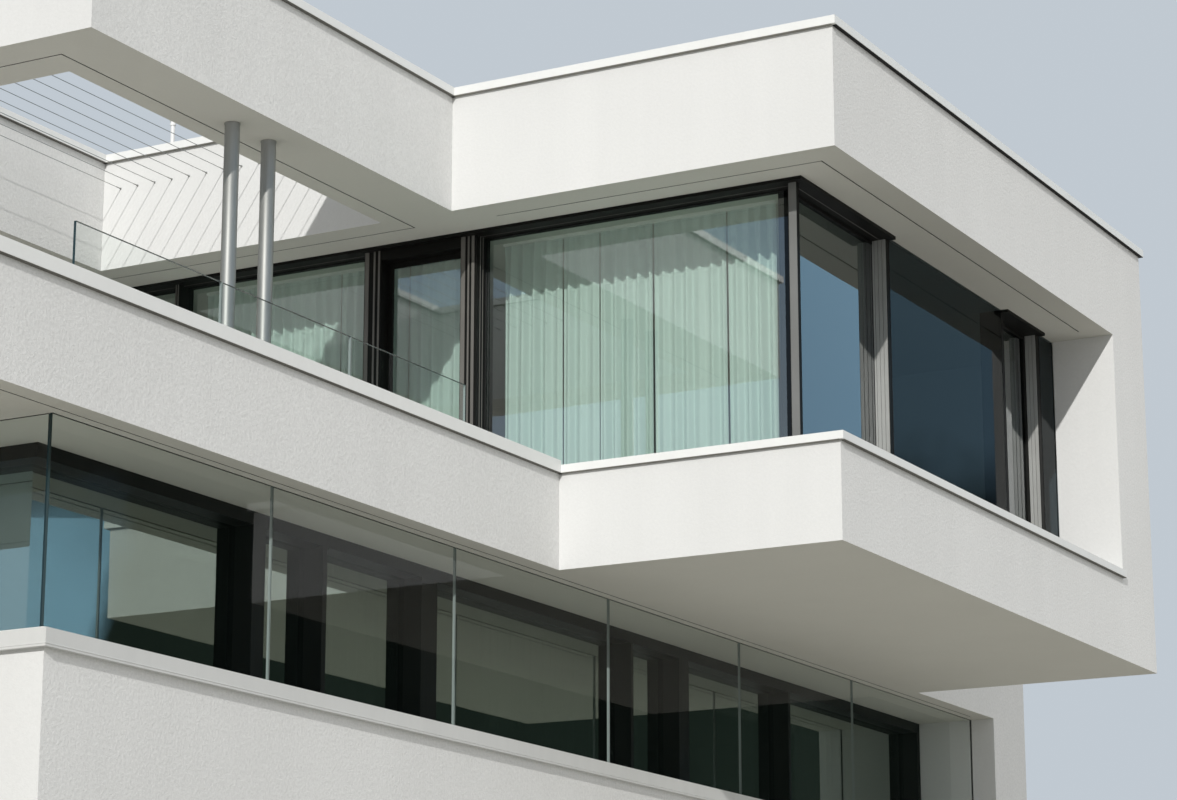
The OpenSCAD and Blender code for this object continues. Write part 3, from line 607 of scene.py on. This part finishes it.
class HOUSE_OT_finishes(Operator):
    """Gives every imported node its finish."""
    bl_idname = "house.finishes"
    bl_label = "Finishes"

    def execute(self, context):
        colours = context.scene.house_colours
        c = {name: tuple(getattr(colours, name)) for name in HouseColours.__annotations__}
        FINISHES.update({
            "render": rendered_wall("white_render", c["wall"], c["soffit"], c["floor"]),
            "coping": powder_coat("coping_sheet", c["coping"], 0.42, 0.06),
            "lower_coping": powder_coat("lower_coping_sheet", scaled(c["coping"], 0.8), 0.5, 0.08),
            "frame_metal": anodised("dark_frame", c["frame"], 0.42, 0.09),
            "trim": anodised("frame_rib", c["trim"], 0.5, 0.35, 0.3),
            "jamb": anodised("jamb_cover", c["jamb"], 0.5, 0.35, 0.3),
            "corner": anodised("corner_cover", scaled(c["jamb"], 0.56), 0.5, 0.35, 0.3),
            # The seal finish is black rubber on the pane seals and black painted shadow under the right, back
            # and left copings. The two strip finishes after it are paler painted shadow under the other
            # copings.
            "seal": anodised("rubber_seal_and_painted_shadow", (0.010, 0.010, 0.010), 0.6, 0.2),
            "drip": anodised("painted_shadow_pale", (0.26, 0.255, 0.23), 0.6, 0.2),
            "shadow_strip_grey": anodised("painted_shadow_grey", (0.17, 0.165, 0.15), 0.6, 0.2),
            "screen_glass": free_glazing("screen_glass", c["screen"], (0.012, 0.03, 0.032),
                                         (0.24, 0.28, 0.27)),
            "window_glass": glazing("window_glass", scaled(c["window"], 0.38), 0.9, 0.245),
            "upper_glass": upper_glazing("upper_glass", c["window"], (0.42, 0.47, 0.50)),
            "curtain": sheer_cloth("curtain_cloth", c["curtain"]),
            "track": powder_coat("white_paint", (0.78, 0.78, 0.77), 0.4, 0.03),
            "door": powder_coat("door_paint", c["door"], 0.36, 0.1),
            "steel": brushed_steel("brushed_steel", c["steel"], 0.46),
            "gravel": loose_gravel("roof_gravel", c["gravel"]),
            "paving": paving("terrace_paving", c["paving"]),
        })
        FINISHES["floor"] = FINISHES["render"]
        for part in frame["record"]["subparts"]:
            node = frame["nodes"][part["node"]]
            node.data.materials.clear()
            own = part["node"] in ("upper_glass", "lower_coping")
            node.data.materials.append(FINISHES[part["node"] if own else part["material_slot"]])
        return {"FINISHED"}


# Columns of the grid in each fold, rows from hem to heading, and half the width of a slit
FOLD_COLUMNS, CLOTH_ROWS, SLIT_W = 18, 29, 0.014

# Places along the track where two widths of cloth meet, for both upper curtains
TUCKS = ((3.92, 4.286, 4.811, 5.514), (0.72, 1.63, 2.36))


def pleated(start, end, across, low, high, pleat, fold, seed, tucks=()):
    """Curtain: along its track by u and up by v. Its depth is a sine of the folds whose crests wander with
    two slow sines, pinched flatter at the heading and fuller at the hem, and flat in a narrow bell at each
    slit, where two widths of cloth meet. Returns the grid's points."""
    width = end - start
    turn = 2 * math.pi
    folds = max(3, round(width / pleat))
    u = np.linspace(0, 1, folds * FOLD_COLUMNS + 1)[None, :]
    v = np.linspace(0, 1, CLOTH_ROWS)[:, None]
    drift = 0.32 * np.sin(turn * (1.7 * u + seed)) + 0.22 * np.sin(turn * (4.1 * u + 0.37 * seed + 0.15 * v))
    lean = 0.25 * (1 - v) * np.sin(9 * u * folds / 7 + seed)
    phase = turn * (folds * u) + drift * (0.7 + 0.3 * (1 - v)) + lean
    open_share = 0.62 + 0.38 * np.clip((1 - v) / 0.16, 0, 1) ** 0.8
    size = 0.74 + 0.2 * np.sin(turn * (2.3 * u + 0.6 * seed)) + 0.24 * np.sin(turn * (7.3 * u + 1.7 * seed))
    depth = fold * open_share * size * (np.sin(phase) + 0.26 * np.sin(2 * phase + 0.8))
    heading = np.clip((v - 0.965) / 0.035, 0, 1)
    depth = depth * (1 - 0.35 * heading)
    for place in tucks:
        bell = np.exp(-((start + u * width - place) / SLIT_W) ** 2)
        depth = depth * (1 - bell)
    sway = 0.010 * (1 - v) * np.cos(phase)
    along = start + np.clip(u + sway / width, 0, 1) * width
    along, depth, up = np.broadcast_arrays(along, across + depth, low + (high - low) * v)
    return along, depth, up


def curtain_piece(name, node, run, start, end, sizes, seed, tucks=()):
    across = (LOW[node][1 - run] + HIGH[node][1 - run]) / 2
    low, high = LOW[node][2], HIGH[node][2]
    along, depth, up = pleated(start, end, across, low, high, sizes.pleat, sizes.fold, seed, tucks)
    points = np.stack([along, depth, up] if run == 0 else [depth, along, up], -1)
    rows, columns = points.shape[:2]
    faces = grid_quads(rows, columns)
    middle = start + (np.arange(columns - 1) + 0.5) / (columns - 1) * (end - start)
    whole = np.ones(columns - 1, bool)
    for place in tucks:
        whole[np.abs(middle - place).argsort()[:2]] = False
    faces = faces[np.tile(whole, rows - 1)]
    cloth = (points.reshape(-1, 3), faces.tolist())
    piece = add_piece(name, cloth, "curtain", soft=True)
    steps = np.linalg.norm(np.diff(points, axis=1), axis=2)
    length = np.concatenate([[0], np.cumsum(steps.mean(0))])
    uv = np.stack(np.broadcast_arrays(length[None, :], up[:, :1] - low), -1).reshape(-1, 2)
    layer = piece.data.uv_layers.new(name="cloth")
    layer.data.foreach_set("uv", uv[faces.reshape(-1)].reshape(-1))
    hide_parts(node)


def slabs_of(node):
    """Start and end along y of each separate solid of a node whose solids follow each other along y."""
    levels = np.unique(np.round(corners_of(frame["nodes"][node].data)[:, 1], 4))
    return levels.reshape(-1, 2)


class HOUSE_OT_curtains(Operator):
    """Hangs the pleated curtains in place of their plain solids."""
    bl_idname = "house.curtains"
    bl_label = "Curtains"

    def execute(self, context):
        sizes = context.scene.house_sizes
        for seed, node in enumerate(("upper_curtain_right", "upper_curtain_left")):
            start, end = LOW[node][0], HIGH[node][0]
            curtain_piece(node + "_cloth", node, 0, start, end, sizes, 0.2 + seed, TUCKS[seed])
        for number, (start, end) in enumerate(slabs_of("first_curtains")):
            curtain_piece(f"first_curtain_{number + 1}", "first_curtains", 1, start, end, sizes,
                          2.3 + 0.7 * number)
        return {"FINISHED"}


# Jamb faces of the two recessed windows at the side, and the ends of the long pane between them
CORNER_UNIT_Y = POST_Y + 1.88
NARROW_END_Y = BOX_PIER_Y - 0.367
NARROW_START_Y = NARROW_END_Y - 0.972
JAMBS = (CORNER_UNIT_Y - THIN_JAMB, NARROW_END_Y - WIDE_JAMB)

# Height of the upper frames between their rails, and the faces of the recessed panes
FRAME_LOW, FRAME_HIGH = SECOND_FLOOR + SILL_RAIL_H, ROOF_SOFFIT - HEAD_H
RECESS_X, RECESS_Y = PANE_X - RECESS, POST_Y + RECESS

# Left and right edge of each pane in the front
FRONT_PANES = ((3.324, RECESS_X), (0.155, 2.164), (-0.908, 0.105))

# Start and end of each front rib and of the narrow leaf, from the house's right face
RIB_STRETCHES = ((3.795, 3.838), (3.753, 3.770), (3.702, 3.731), (4.672, 4.690),
                 (4.720, 4.738), (4.786, 4.826), (6.852, 6.862), (6.876, 6.886))
LEAF_STRETCH = (4.660, 3.845)

# Flank of the post beside that leaf, from the same face, and its ribs' distance behind the front of the posts
FLANK, FLANK_RIBS = 3.676, (0.045, 0.088)

# Edges of the jamb covers' steps, from the recessed panes
JAMB_STEPS = (0.001, 0.024, 0.060, 0.098, 0.134)

# Distance of the head tracks behind the frames' faces, their width and their drop
TRACK_IN, TRACK_W, TRACK_DROP = 0.062, 0.006, 0.002

# How far the seals stand out of a recessed pane and reach into it
SEAL_OUT, SEAL_IN = 0.003, 0.002

# Width of the sashes in the front and at the side, and how far they stand out
LEAF_W, SIDE_LEAF_W, LEAF_OUT = 0.054, 0.032, 0.022


class HOUSE_OT_frame_ribs(Operator):
    """Adds the ribs on the posts, the head tracks and the pale covers of the jambs and the glazed corner."""
    bl_idname = "house.frame_ribs"
    bl_label = "Frame ribs"

    def execute(self, context):
        rib = context.scene.house_sizes.rib
        low, high = FRAME_LOW, FRAME_HIGH
        ribs = [[(RIGHT - b, POST_Y - rib, low), (RIGHT - a, POST_Y, high)] for a, b in RIB_STRETCHES]
        x = RIGHT - FLANK
        ribs += [[(x, POST_Y + y, low), (x + 0.004, POST_Y + y + 0.010, high)] for y in FLANK_RIBS]
        add_piece("frame_ribs", chamfered_bars(ribs, 2, 0.002), "trim")
        x, y, under = PANE_X - TRACK_IN, POST_Y + TRACK_IN, high - TRACK_DROP
        front = [[(WING + 0.07, y, under), (x, y + TRACK_W, high)]]
        side = [[(x, y + TRACK_W, under), (x + TRACK_W, CORNER_UNIT_Y - THIN_JAMB, high)]]
        tracks = joined([chamfered_bars(front, 0, 0.0008), chamfered_bars(side, 1, 0.0008)])
        add_piece("head_tracks", tracks, "trim")
        corner = [[(PANE_X - 0.073, POST_Y - 0.004, low), (PANE_X - 0.002, POST_Y, high)]]
        add_piece("corner_cover", chamfered_bars(corner, 2, 0.002), "corner")
        edges = [RECESS_X + step for step in JAMB_STEPS]
        covers = [[(a, y - 0.5 * rib - 0.0015 * n, low), (b - 0.003, y, high)]
                  for y in JAMBS for n, (a, b) in enumerate(zip(edges, edges[1:]))]
        add_piece("jamb_covers", chamfered_bars(covers, 2, 0.001), "jamb")
        return {"FINISHED"}


class HOUSE_OT_pane_seals(Operator):
    """Adds the rubber seals at the edges of the upper panes and the sashes of the narrow windows."""
    bl_idname = "house.pane_seals"
    bl_label = "Pane seals"

    def execute(self, context):
        s = context.scene.house_sizes.seal
        low, high = FRAME_LOW, FRAME_HIGH
        out_x, in_x = RECESS_X + SEAL_OUT, RECESS_X - SEAL_IN
        out_y, in_y = RECESS_Y - SEAL_OUT, RECESS_Y + SEAL_IN
        upright = []
        for start, end in ((CORNER_UNIT_Y, NARROW_START_Y), (NARROW_END_Y, BOX_PIER_Y)):
            upright += [[(PANE_X - 0.004, y, low), (PANE_X + 0.003, y + s, high)] for y in (start, end - s)]
        for start, end in FRONT_PANES:
            upright += [[(x, out_y, low), (x + s, in_y, high)] for x in (start, end - s) if x < RECESS_X - s]
        sides = (CORNER_UNIT_Y - THIN_JAMB - s, NARROW_START_Y + THIN_JAMB, NARROW_END_Y - WIDE_JAMB - s)
        upright += [[(in_x, y, low), (out_x, y + s, high)] for y in sides]
        proud, deep = 0.0015, 0.007
        upright.append([(RECESS_X - deep, RECESS_Y - proud, low), (RECESS_X + proud, RECESS_Y + deep, high)])
        spans = (FRONT_PANES[1], (FRONT_PANES[0][0], RECESS_X - s))
        head = [[(start, out_y, high - s), (end, in_y, high)] for start, end in spans]
        seals = [chamfered_bars(upright, 2, 0.001), chamfered_bars(head, 0, 0.001)]
        add_piece("pane_seals", joined(seals), "seal")
        a, b = (RIGHT - x for x in LEAF_STRETCH)
        front = sash((a, RECESS_Y - LEAF_OUT, low), (b, RECESS_Y, high - LEAF_HEAD_H), 0, LEAF_W, 0.003)
        a, b = NARROW_START_Y + THIN_JAMB, NARROW_END_Y - WIDE_JAMB
        side = sash((RECESS_X, a, low), (RECESS_X + LEAF_OUT, b, high), 1, SIDE_LEAF_W, 0.003)
        bead = [[(RECESS_X, in_y, high - SIDE_LEAF_W), (RECESS_X + 0.006, CORNER_UNIT_Y - THIN_JAMB, high)]]
        leaves = joined([front, side, chamfered_bars(bead, 1, 0.002)])
        add_piece("window_leaves", leaves, "frame_metal")
        return {"FINISHED"}


class HOUSE_OT_wall_windows(Operator):
    """Adds the sills and the casement sashes of the windows cut in the walls."""
    bl_idname = "house.wall_windows"
    bl_label = "Wall windows"

    def execute(self, context):
        nose = context.scene.house_sizes.sill_nose
        half = WINDOW_W / 2
        profile = [(-WINDOW_IN, 0.001), (nose - 0.003, 0.001), (nose - 0.003, -0.026),
                   (nose, -0.026), (nose, 0.006), (-WINDOW_IN, 0.016)]
        sill = carried(profile, [(0.002 - half, 0), (half - 0.002, 0)])
        low = (half - CASEMENT_W, WINDOW_IN - 0.008, FRAME_W)
        high = (half - FRAME_W, WINDOW_IN + 0.024, WINDOW_H - FRAME_W)
        casement = sash(low, high, 0, 0.052, 0.004)
        for name, (points, faces), finish, slot in (
                ("window_sills", sill, "coping", "coping"),
                ("window_sashes", casement, "frame_metal", "frame_metal")):
            all_round = joined([(stood(points, place), faces) for place in window_places()])
            add_piece(name, all_round, finish)
        return {"FINISHED"}


class HOUSE_OT_door_fittings(Operator):
    """Adds the raised boards, the pull bar and the lock rose of the entrance door."""
    bl_idname = "house.door_fittings"
    bl_label = "Door fittings"

    def execute(self, context):
        place = (INNER_X - DOOR_FROM_PIER, BACK, GROUND_FLOOR, 180)
        half, face = DOOR_W / 2 - FRAME_W - 0.02, WINDOW_IN + 0.01
        levels = np.linspace(0.03, DOOR_H - FRAME_W - 0.03, 7)
        boards = [[(-half, face - 0.006, a + 0.006), (half, face, b - 0.006)]
                  for a, b in zip(levels, levels[1:])]
        points, faces = chamfered_bars(boards, 0, 0.003)
        add_piece("door_boards", (stood(points, place), faces), "door")
        x, y = half - 0.10, face - 0.060
        grip = [(0.0142, 0.703), (0.016, 0.71), (0.016, 1.69), (0.0142, 1.697)]
        stem = [(0.009, 0), (0.009, 0.05), (0.018, 0.0502), (0.018, 0.056)]
        rose = [(0.026, 0.048), (0.026, 0.0535), (0.024, 0.056)]
        points, faces = joined([turned(grip, [(x, y, 0)], 2, 24),
                                turned(stem, [(x, y, 0.80), (x, y, 1.60)], 1, 24),
                                turned(rose, [(x, y, 1.05)], 1)])
        add_piece("door_pull", (stood(points, place), faces), "steel")
        return {"FINISHED"}


# Distance between two roof wires
WIRE_PITCH = 0.19


class HOUSE_OT_wire_ends(Operator):
    """Adds the tensioners and wall plates at both ends of the roof wires."""
    bl_idname = "house.wire_ends"
    bl_label = "Wire ends"

    def execute(self, context):
        low, high = LOW["roof_wires"], HIGH["roof_wires"]
        radius = (high[2] - low[2]) / 2
        count = round((high[0] - low[0] - 2 * radius) / WIRE_PITCH) + 1
        middles = low[0] + radius + WIRE_PITCH * np.arange(count)
        z = (low[2] + high[2]) / 2
        near = [(0.011, 0.0), (0.011, 0.002), (0.0055, 0.004), (0.0052, 0.030),
                (0.0042, 0.034), (0.0042, 0.062), (0.0032, 0.070)]
        far = [(r, -h) for r, h in near][::-1]
        ends = [turned(profile, [(x, y, z) for x in middles], 1, 16)
                for profile, y in ((near, low[1]), (far, high[1]))]
        add_piece("wire_tensioners", joined(ends), "steel")
        return {"FINISHED"}


# Steps of the turned profiles: share of the shaft's radius, and height from the foot or from the top
COLUMN_FOOT = ((1.22, 0), (1.22, 0.040), (1.19, 0.043), (1.02, 0.043), (1, 0.046), (1, 1.0))
COLUMN_HEAD = ((1, -1.0), (1, -0.011), (1.015, -0.009), (1.055, -0.0085), (1.06, -0.007), (1.06, 0))
PIPE_COWL = ((1.02, -0.075), (1.35, -0.070), (1.35, -0.052), (1.12, -0.046), (1.12, -0.034),
             (1.55, -0.028), (1.5, -0.010), (0.5, 0))
PIPE_COLLAR = ((3.2, 0.05), (3.2, 0.054), (1.4, 0.060), (1.1, 0.120), (1.02, 0.122))


class HOUSE_OT_columns(Operator):
    """Turns the round columns with their head rims and foot plates, and the vent pipe's cowl and collar."""
    bl_idname = "house.columns"
    bl_label = "Columns"

    def execute(self, context):
        shaft = context.scene.house_sizes.column_dia / 2
        low, high = LOW["columns"], HIGH["columns"]
        r = (high[0] - low[0]) / 2
        middles = [(low[0] + r, y, 0) for y in (low[1] + r, high[1] - r)]
        profile = profile_from(low[2], shaft, COLUMN_FOOT) + profile_from(high[2], shaft, COLUMN_HEAD)
        columns = add_piece("columns_turned", turned(profile, middles, 2, 64), "steel")
        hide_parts("columns")
        smooth_long_faces(columns)
        low, high = LOW["vent_pipe"], HIGH["vent_pipe"]
        centre = [((low[0] + high[0]) / 2, (low[1] + high[1]) / 2, 0)]
        pipe = (high[0] - low[0]) / 2
        cowl = turned(profile_from(high[2] - 0.001, pipe, PIPE_COWL), centre)
        collar = turned(profile_from(low[2], pipe, PIPE_COLLAR), centre)
        add_piece("vent_cowl", joined([cowl, collar]), "track")
        return {"FINISHED"}


def smooth_long_faces(piece):
    """Smooth shading on the tall faces of a turned piece only, so its rims and plates keep sharp edges."""
    z = corners_of(piece.data)[:, 2]
    tall = [np.ptp(z[list(face.vertices)]) > 0.5 for face in piece.data.polygons]
    piece.data.polygons.foreach_set("use_smooth", np.array(tall))


def gravel_bed(x0, x1, y0, y1, z0, depth, step=0.09):
    """A bed of gravel from upstand to upstand: its height is the depth and two pairs of crossed sines."""
    x = np.linspace(x0, x1, max(3, round((x1 - x0) / step)))[:, None]
    y = np.linspace(y0, y1, max(3, round((y1 - y0) / step)))[None, :]
    slow = 0.005 * np.sin(2.1 * x + 0.7 * y) * np.sin(1.7 * y - 0.4 * x)
    z = z0 + depth + slow + 0.003 * np.sin(13 * x) * np.sin(11 * y)
    x, y, z = np.broadcast_arrays(x, y, z)
    return np.stack([x, y, z], -1).reshape(-1, 3), grid_quads(*z.shape).tolist()


class HOUSE_OT_roof_covering(Operator):
    """Spreads gravel over the flat roofs, inside their upstands."""
    bl_idname = "house.roof_covering"
    bl_label = "Roof covering"

    def execute(self, context):
        depth = context.scene.house_sizes.gravel_t
        inner = BOX_Y + UPSTAND
        trays = [(LEFT + UPSTAND, BODY - UPSTAND, inner, BACK - UPSTAND),
                 (LEFT + UPSTAND, WING - UPSTAND, WING_Y + UPSTAND, inner),
                 (BODY - UPSTAND, RIGHT - UPSTAND, inner, BOX_END_Y - UPSTAND)]
        part = joined([gravel_bed(*tray, ROOF_TOP + 0.001, depth) for tray in trays])
        add_piece("roof_gravel", part, "gravel", soft=True)
        return {"FINISHED"}


class HOUSE_OT_terrace_paving(Operator):
    """Lays the paving slabs of the terrace."""
    bl_idname = "house.terrace_paving"
    bl_label = "Terrace paving"

    def execute(self, context):
        sizes = context.scene.house_sizes
        step, gap, beside = sizes.paver, sizes.paver_gap, 0.01
        slabs = []
        right = BODY - WALL - beside
        fields = [(LEFT + WALL + beside, right, FRONT + WALL + beside, WING_Y - beside),
                  (WING + beside, right, WING_Y, POST_Y - 0.07)]
        for x0, x1, y0, y1 in fields:
            xs = np.append(np.arange(x1, x0, -step), x0)[::-1]
            ys = np.append(np.arange(y1, y0, -step), y0)[::-1]
            for a, b in zip(xs, xs[1:]):
                for c, d in zip(ys, ys[1:]):
                    if b - a > 0.05 and d - c > 0.05:
                        slabs.append([(a + gap / 2, c + gap / 2, SECOND_FLOOR + 0.001),
                                      (b - gap / 2, d - gap / 2, SECOND_FLOOR + sizes.paver_t)])
        add_piece("terrace_paving", chamfered_bars(slabs, 0, 0.004), "paving")
        return {"FINISHED"}


class HOUSE_OT_glass_channels(Operator):
    """Adds the slim metal channels that hold the foot of the low glass and of the screen."""
    bl_idname = "house.glass_channels"
    bl_label = "Glass channels"

    def execute(self, context):
        low, high = LOW["rail_glass"], HIGH["rail_glass"]
        t, w, h = high[0] - low[0], 0.010, 0.026
        cheek = [(0, 0), (w, 0), (w, h - 0.003), (w - 0.003, h), (0, h)]
        other = [(-u, z) for u, z in cheek][::-1]
        start, end = high[1] + 0.04, low[1] - 0.04
        parts = [carried(profile, [(x, start), (x, end)], low[2])
                 for profile, x in ((cheek, high[0]), (other, low[0]))]
        for profile, inset in ((other, 0), (cheek, t)):
            x, y = SCREEN_X - inset, SCREEN_Y + inset
            parts.append(carried(profile, [(x, END_PIER_Y), (x, y), (WING, y)], LOW["screen_glass"][2]))
        add_piece("glass_channels", joined(parts), "coping")
        return {"FINISHED"}


def shadow_strip_section(over):
    """Section of the painted shadow under a coping: flat against it, from the wall to just short of its edge.
    """
    near, far, thick, film = over - 0.007, over - 0.005, 0.004, 0.0002
    return [(0.0, -thick), (near, -thick), (far, -0.002), (far, -film), (0.0, -film)]


class HOUSE_OT_coping_shadows_and_folds(Operator):
    """Adds strips of painted shadow under the copings' overhangs and the folded edge of the lower coping."""
    bl_idname = "house.coping_folds"
    bl_label = "Coping folds"

    def execute(self, context):
        section = shadow_strip_section(context.scene.house_sizes.coping_over)
        roof, terrace, sill = (LOW[name][2] for name in ("frame_coping", "terrace_coping", "sill_coping"))
        front = [([(WING, WING_Y), (FRAME_X, WING_Y)], roof), ([(FRAME_X, BOX_Y), (RIGHT, BOX_Y)], roof),
                 ([(COURT_X0, BOX_Y), (COURT_X1, BOX_Y)], roof), ([(LEFT, WING_Y), (WING, WING_Y)], roof),
                 ([(LEFT, FRONT), (BODY, FRONT)], terrace), ([(BODY, BOX_Y), (RIGHT, BOX_Y)], sill)]
        low = [([(LEFT, WING_Y), (LEFT, FRONT)], terrace), ([(BODY, FRONT), (BODY, BOX_Y)], terrace),
               ([(RIGHT, BOX_Y), (RIGHT, BOX_PIER_Y)], sill), ([(FRAME_X, WING_Y), (FRAME_X, BOX_Y)], roof),
               ([(COURT_X1, BOX_Y), (COURT_X1, COURT_Y0), (COURT_X0, COURT_Y0), (COURT_X0, BOX_Y)], roof)]
        side = [([(RIGHT, BOX_Y), (RIGHT, BOX_END_Y), (BODY, BOX_END_Y), (BODY, BACK), (LEFT, BACK),
                  (LEFT, WING_Y)], roof)]
        # Painted shadow under the copings, toned by how much light reaches each run: pale grey at the front,
        # mid grey on the low and open runs, and black on the right, back and left runs.
        for name, runs, finish in (("coping_shadow_strips_front", front, "drip"),
                                   ("coping_shadow_strips_low", low, "shadow_strip_grey"),
                                   ("coping_shadow_strips_side", side, "seal")):
            strips = [carried(section, run, level) for run, level in runs]
            add_piece(name, joined(strips), finish)
        bead = [(-0.001, 0.014), (0.0022, 0.0155), (0.0030, 0.019), (0.0022, 0.0225), (-0.001, 0.024)]
        edge, nose = HIGH["lower_coping"][0], LOW["lower_coping"][1]
        fold = carried(bead, [(WING, nose), (edge, nose), (edge, END_PIER_Y)], LOW["lower_coping"][2])
        add_piece("lower_coping_fold", fold, "lower_coping")
        return {"FINISHED"}


# Standpoint of the camera in metres, and its pitch and turn in degrees
EYE_PLACE, EYE_PITCH, EYE_TURN = (16.679, -22.732, 1.566), 14.155, 28.90

# Direction that the key light comes from
KEY_FROM = (0.31, -1.0, 0.45)

# Half the side of the studio floor, and how far it lies under the house
FLOOR_HALF, FLOOR_DROP = 260, 0.004


def seen(f):
    """1 for rays of the camera, of reflections and through glass, and 0 for those that only carry light."""
    path = f.add("ShaderNodeLightPath").socket.node
    rays = [Wire(f, path.outputs[name]) for name in ("Is Camera Ray", "Is Glossy Ray", "Is Transmission Ray")]
    return (rays[0] + rays[1] + rays[2]).clamped()


def mirrored_sky(f, towards):
    """What the glass mirrors: a blue sky, paler low in front, over a plain dark zone with an uneven rim."""
    x, y, z = f.parts(towards)
    away = ((x * 0.5 + y * 0.866 - 0.45) * 5.0).clamped()
    uneven = (f.noise(towards, 16.0, 4.0, 0.7) - 0.5) * 0.07
    dip = ((x - y * 0.725) * 16.0).clamped()
    rise = ((x - y * 0.52) * 12.0).clamped() * 0.07 - dip * 0.18
    low = ((0.232 + rise + uneven - z) * 30.0).clamped()
    high = ((x - y * 0.5) * 14.0).clamped() * ((z + uneven - 0.185) * 25.0).clamped()
    high = high * (z < 0.36) * (1 - dip * (z < 0.205) * 0.8)
    front = f.tones(((z - 0.2) * 8.0).clamped(), (0.66, 0.77, 0.86), (0.36, 0.52, 0.72))
    sky = f.tones(away, front, (0.44, 0.74, 1.0))
    return f.tones((away * (low + high)).clamped(), sky, (0.026, 0.037, 0.031))


class HOUSE_OT_studio(Operator):
    """Sets the floor, the even surrounding light, the soft key light and the camera."""
    bl_idname = "house.studio"
    bl_label = "Studio"

    def execute(self, context):
        studio = context.scene.house_studio
        scene = context.scene
        across = np.linspace(-FLOOR_HALF, FLOOR_HALF, 5)
        x, y = np.meshgrid(across, across, indexing="ij")
        points = np.stack([x, y, np.full_like(x, -FLOOR_DROP)], -1).reshape(-1, 3)
        mesh = bpy.data.meshes.new("studio_floor")
        mesh.from_pydata(points.tolist(), [], grid_quads(5, 5).tolist())
        floor = placed("studio_floor", mesh)
        f = Finish("studio_floor")
        tone = f.tones(seen(f), (0.45, 0.44, 0.40), (0.60, 0.605, 0.60))
        mesh.materials.append(f.done(f.surface(colour=tone, rough=0.9, shine=0.1)))
        scene.world = bpy.data.worlds.new("studio_world")
        f = Finish("studio_world", owner=scene.world)
        towards = f.add("ShaderNodeTexCoord", out="Generated")
        x, y = f.parts(towards)[:2]
        open_side = ((x * 0.8 + y * 0.6) * 0.9 + 0.45).clamped()
        soft = f.tones(open_side, (0.36, 0.37, 0.38), (0.85, 0.86, 0.87))
        fill = f.add("ShaderNodeBackground", {}, {"Color": soft, "Strength": studio.fill})
        mirror_ray = Wire(f, f.add("ShaderNodeLightPath").socket.node.outputs["Is Glossy Ray"])
        backdrop = f.tones(mirror_ray, (0.53, 0.585, 0.64), mirrored_sky(f, towards))
        sky = f.add("ShaderNodeBackground", {}, {"Color": backdrop, "Strength": 1.0})
        f.add("ShaderNodeOutputWorld", {}, {"Surface": f.mixed(seen(f), fill, sky)})
        lamp = bpy.data.lights.new("key_light", "SUN")
        lamp.energy = studio.sun
        lamp.angle = studio.sun_angle
        lamp.color = (1.0, 0.985, 0.955)
        key = placed("key_light", lamp)
        x, y, z = KEY_FROM
        key.location = (20 * x, 20 * y, 20 * z)
        key.rotation_euler = (math.atan2(math.hypot(x, y), z), 0, math.atan2(x, -y))
        eye = bpy.data.cameras.new("camera")
        eye.lens = studio.lens
        eye.sensor_width = 36.0
        eye.clip_start, eye.clip_end = 0.5, 900
        camera = placed("camera", eye)
        camera.location = EYE_PLACE
        camera.rotation_euler = (math.radians(90 + EYE_PITCH), 0, math.radians(EYE_TURN))
        scene.camera = camera
        scene.view_settings.view_transform = "Standard"
        return {"FINISHED"}


# The operators in the order in which they run
OPERATORS = (HOUSE_OT_finishes, HOUSE_OT_curtains, HOUSE_OT_frame_ribs, HOUSE_OT_pane_seals,
             HOUSE_OT_wall_windows, HOUSE_OT_door_fittings, HOUSE_OT_wire_ends, HOUSE_OT_columns,
             HOUSE_OT_roof_covering, HOUSE_OT_terrace_paving, HOUSE_OT_glass_channels,
             HOUSE_OT_coping_shadows_and_folds, HOUSE_OT_studio)


class HOUSE_PT_panel(Panel):
    """Lists the house's operators and settings."""
    bl_idname = "HOUSE_PT_panel"
    bl_label = "Detached house"
    bl_space_type = "VIEW_3D"
    bl_region_type = "UI"
    bl_category = "House"

    def draw(self, context):
        for operator in OPERATORS:
            self.layout.operator(operator.bl_idname)
        for name, group in GROUPS.items():
            for setting in group.__annotations__:
                self.layout.prop(getattr(context.scene, name), setting)


CLASSES = (*GROUPS.values(), *OPERATORS, HOUSE_PT_panel)


def register():
    for cls in CLASSES:
        bpy.utils.register_class(cls)
    for name, group in GROUPS.items():
        setattr(bpy.types.Scene, name, bpy.props.PointerProperty(type=group))


def unregister():
    for name in GROUPS:
        delattr(bpy.types.Scene, name)
    for cls in reversed(CLASSES):
        bpy.utils.unregister_class(cls)


def main():
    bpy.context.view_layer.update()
    register()
    for operator in OPERATORS:
        group, name = operator.bl_idname.split(".")
        getattr(getattr(bpy.ops, group), name)()


if __name__ == "__main__":
    main()
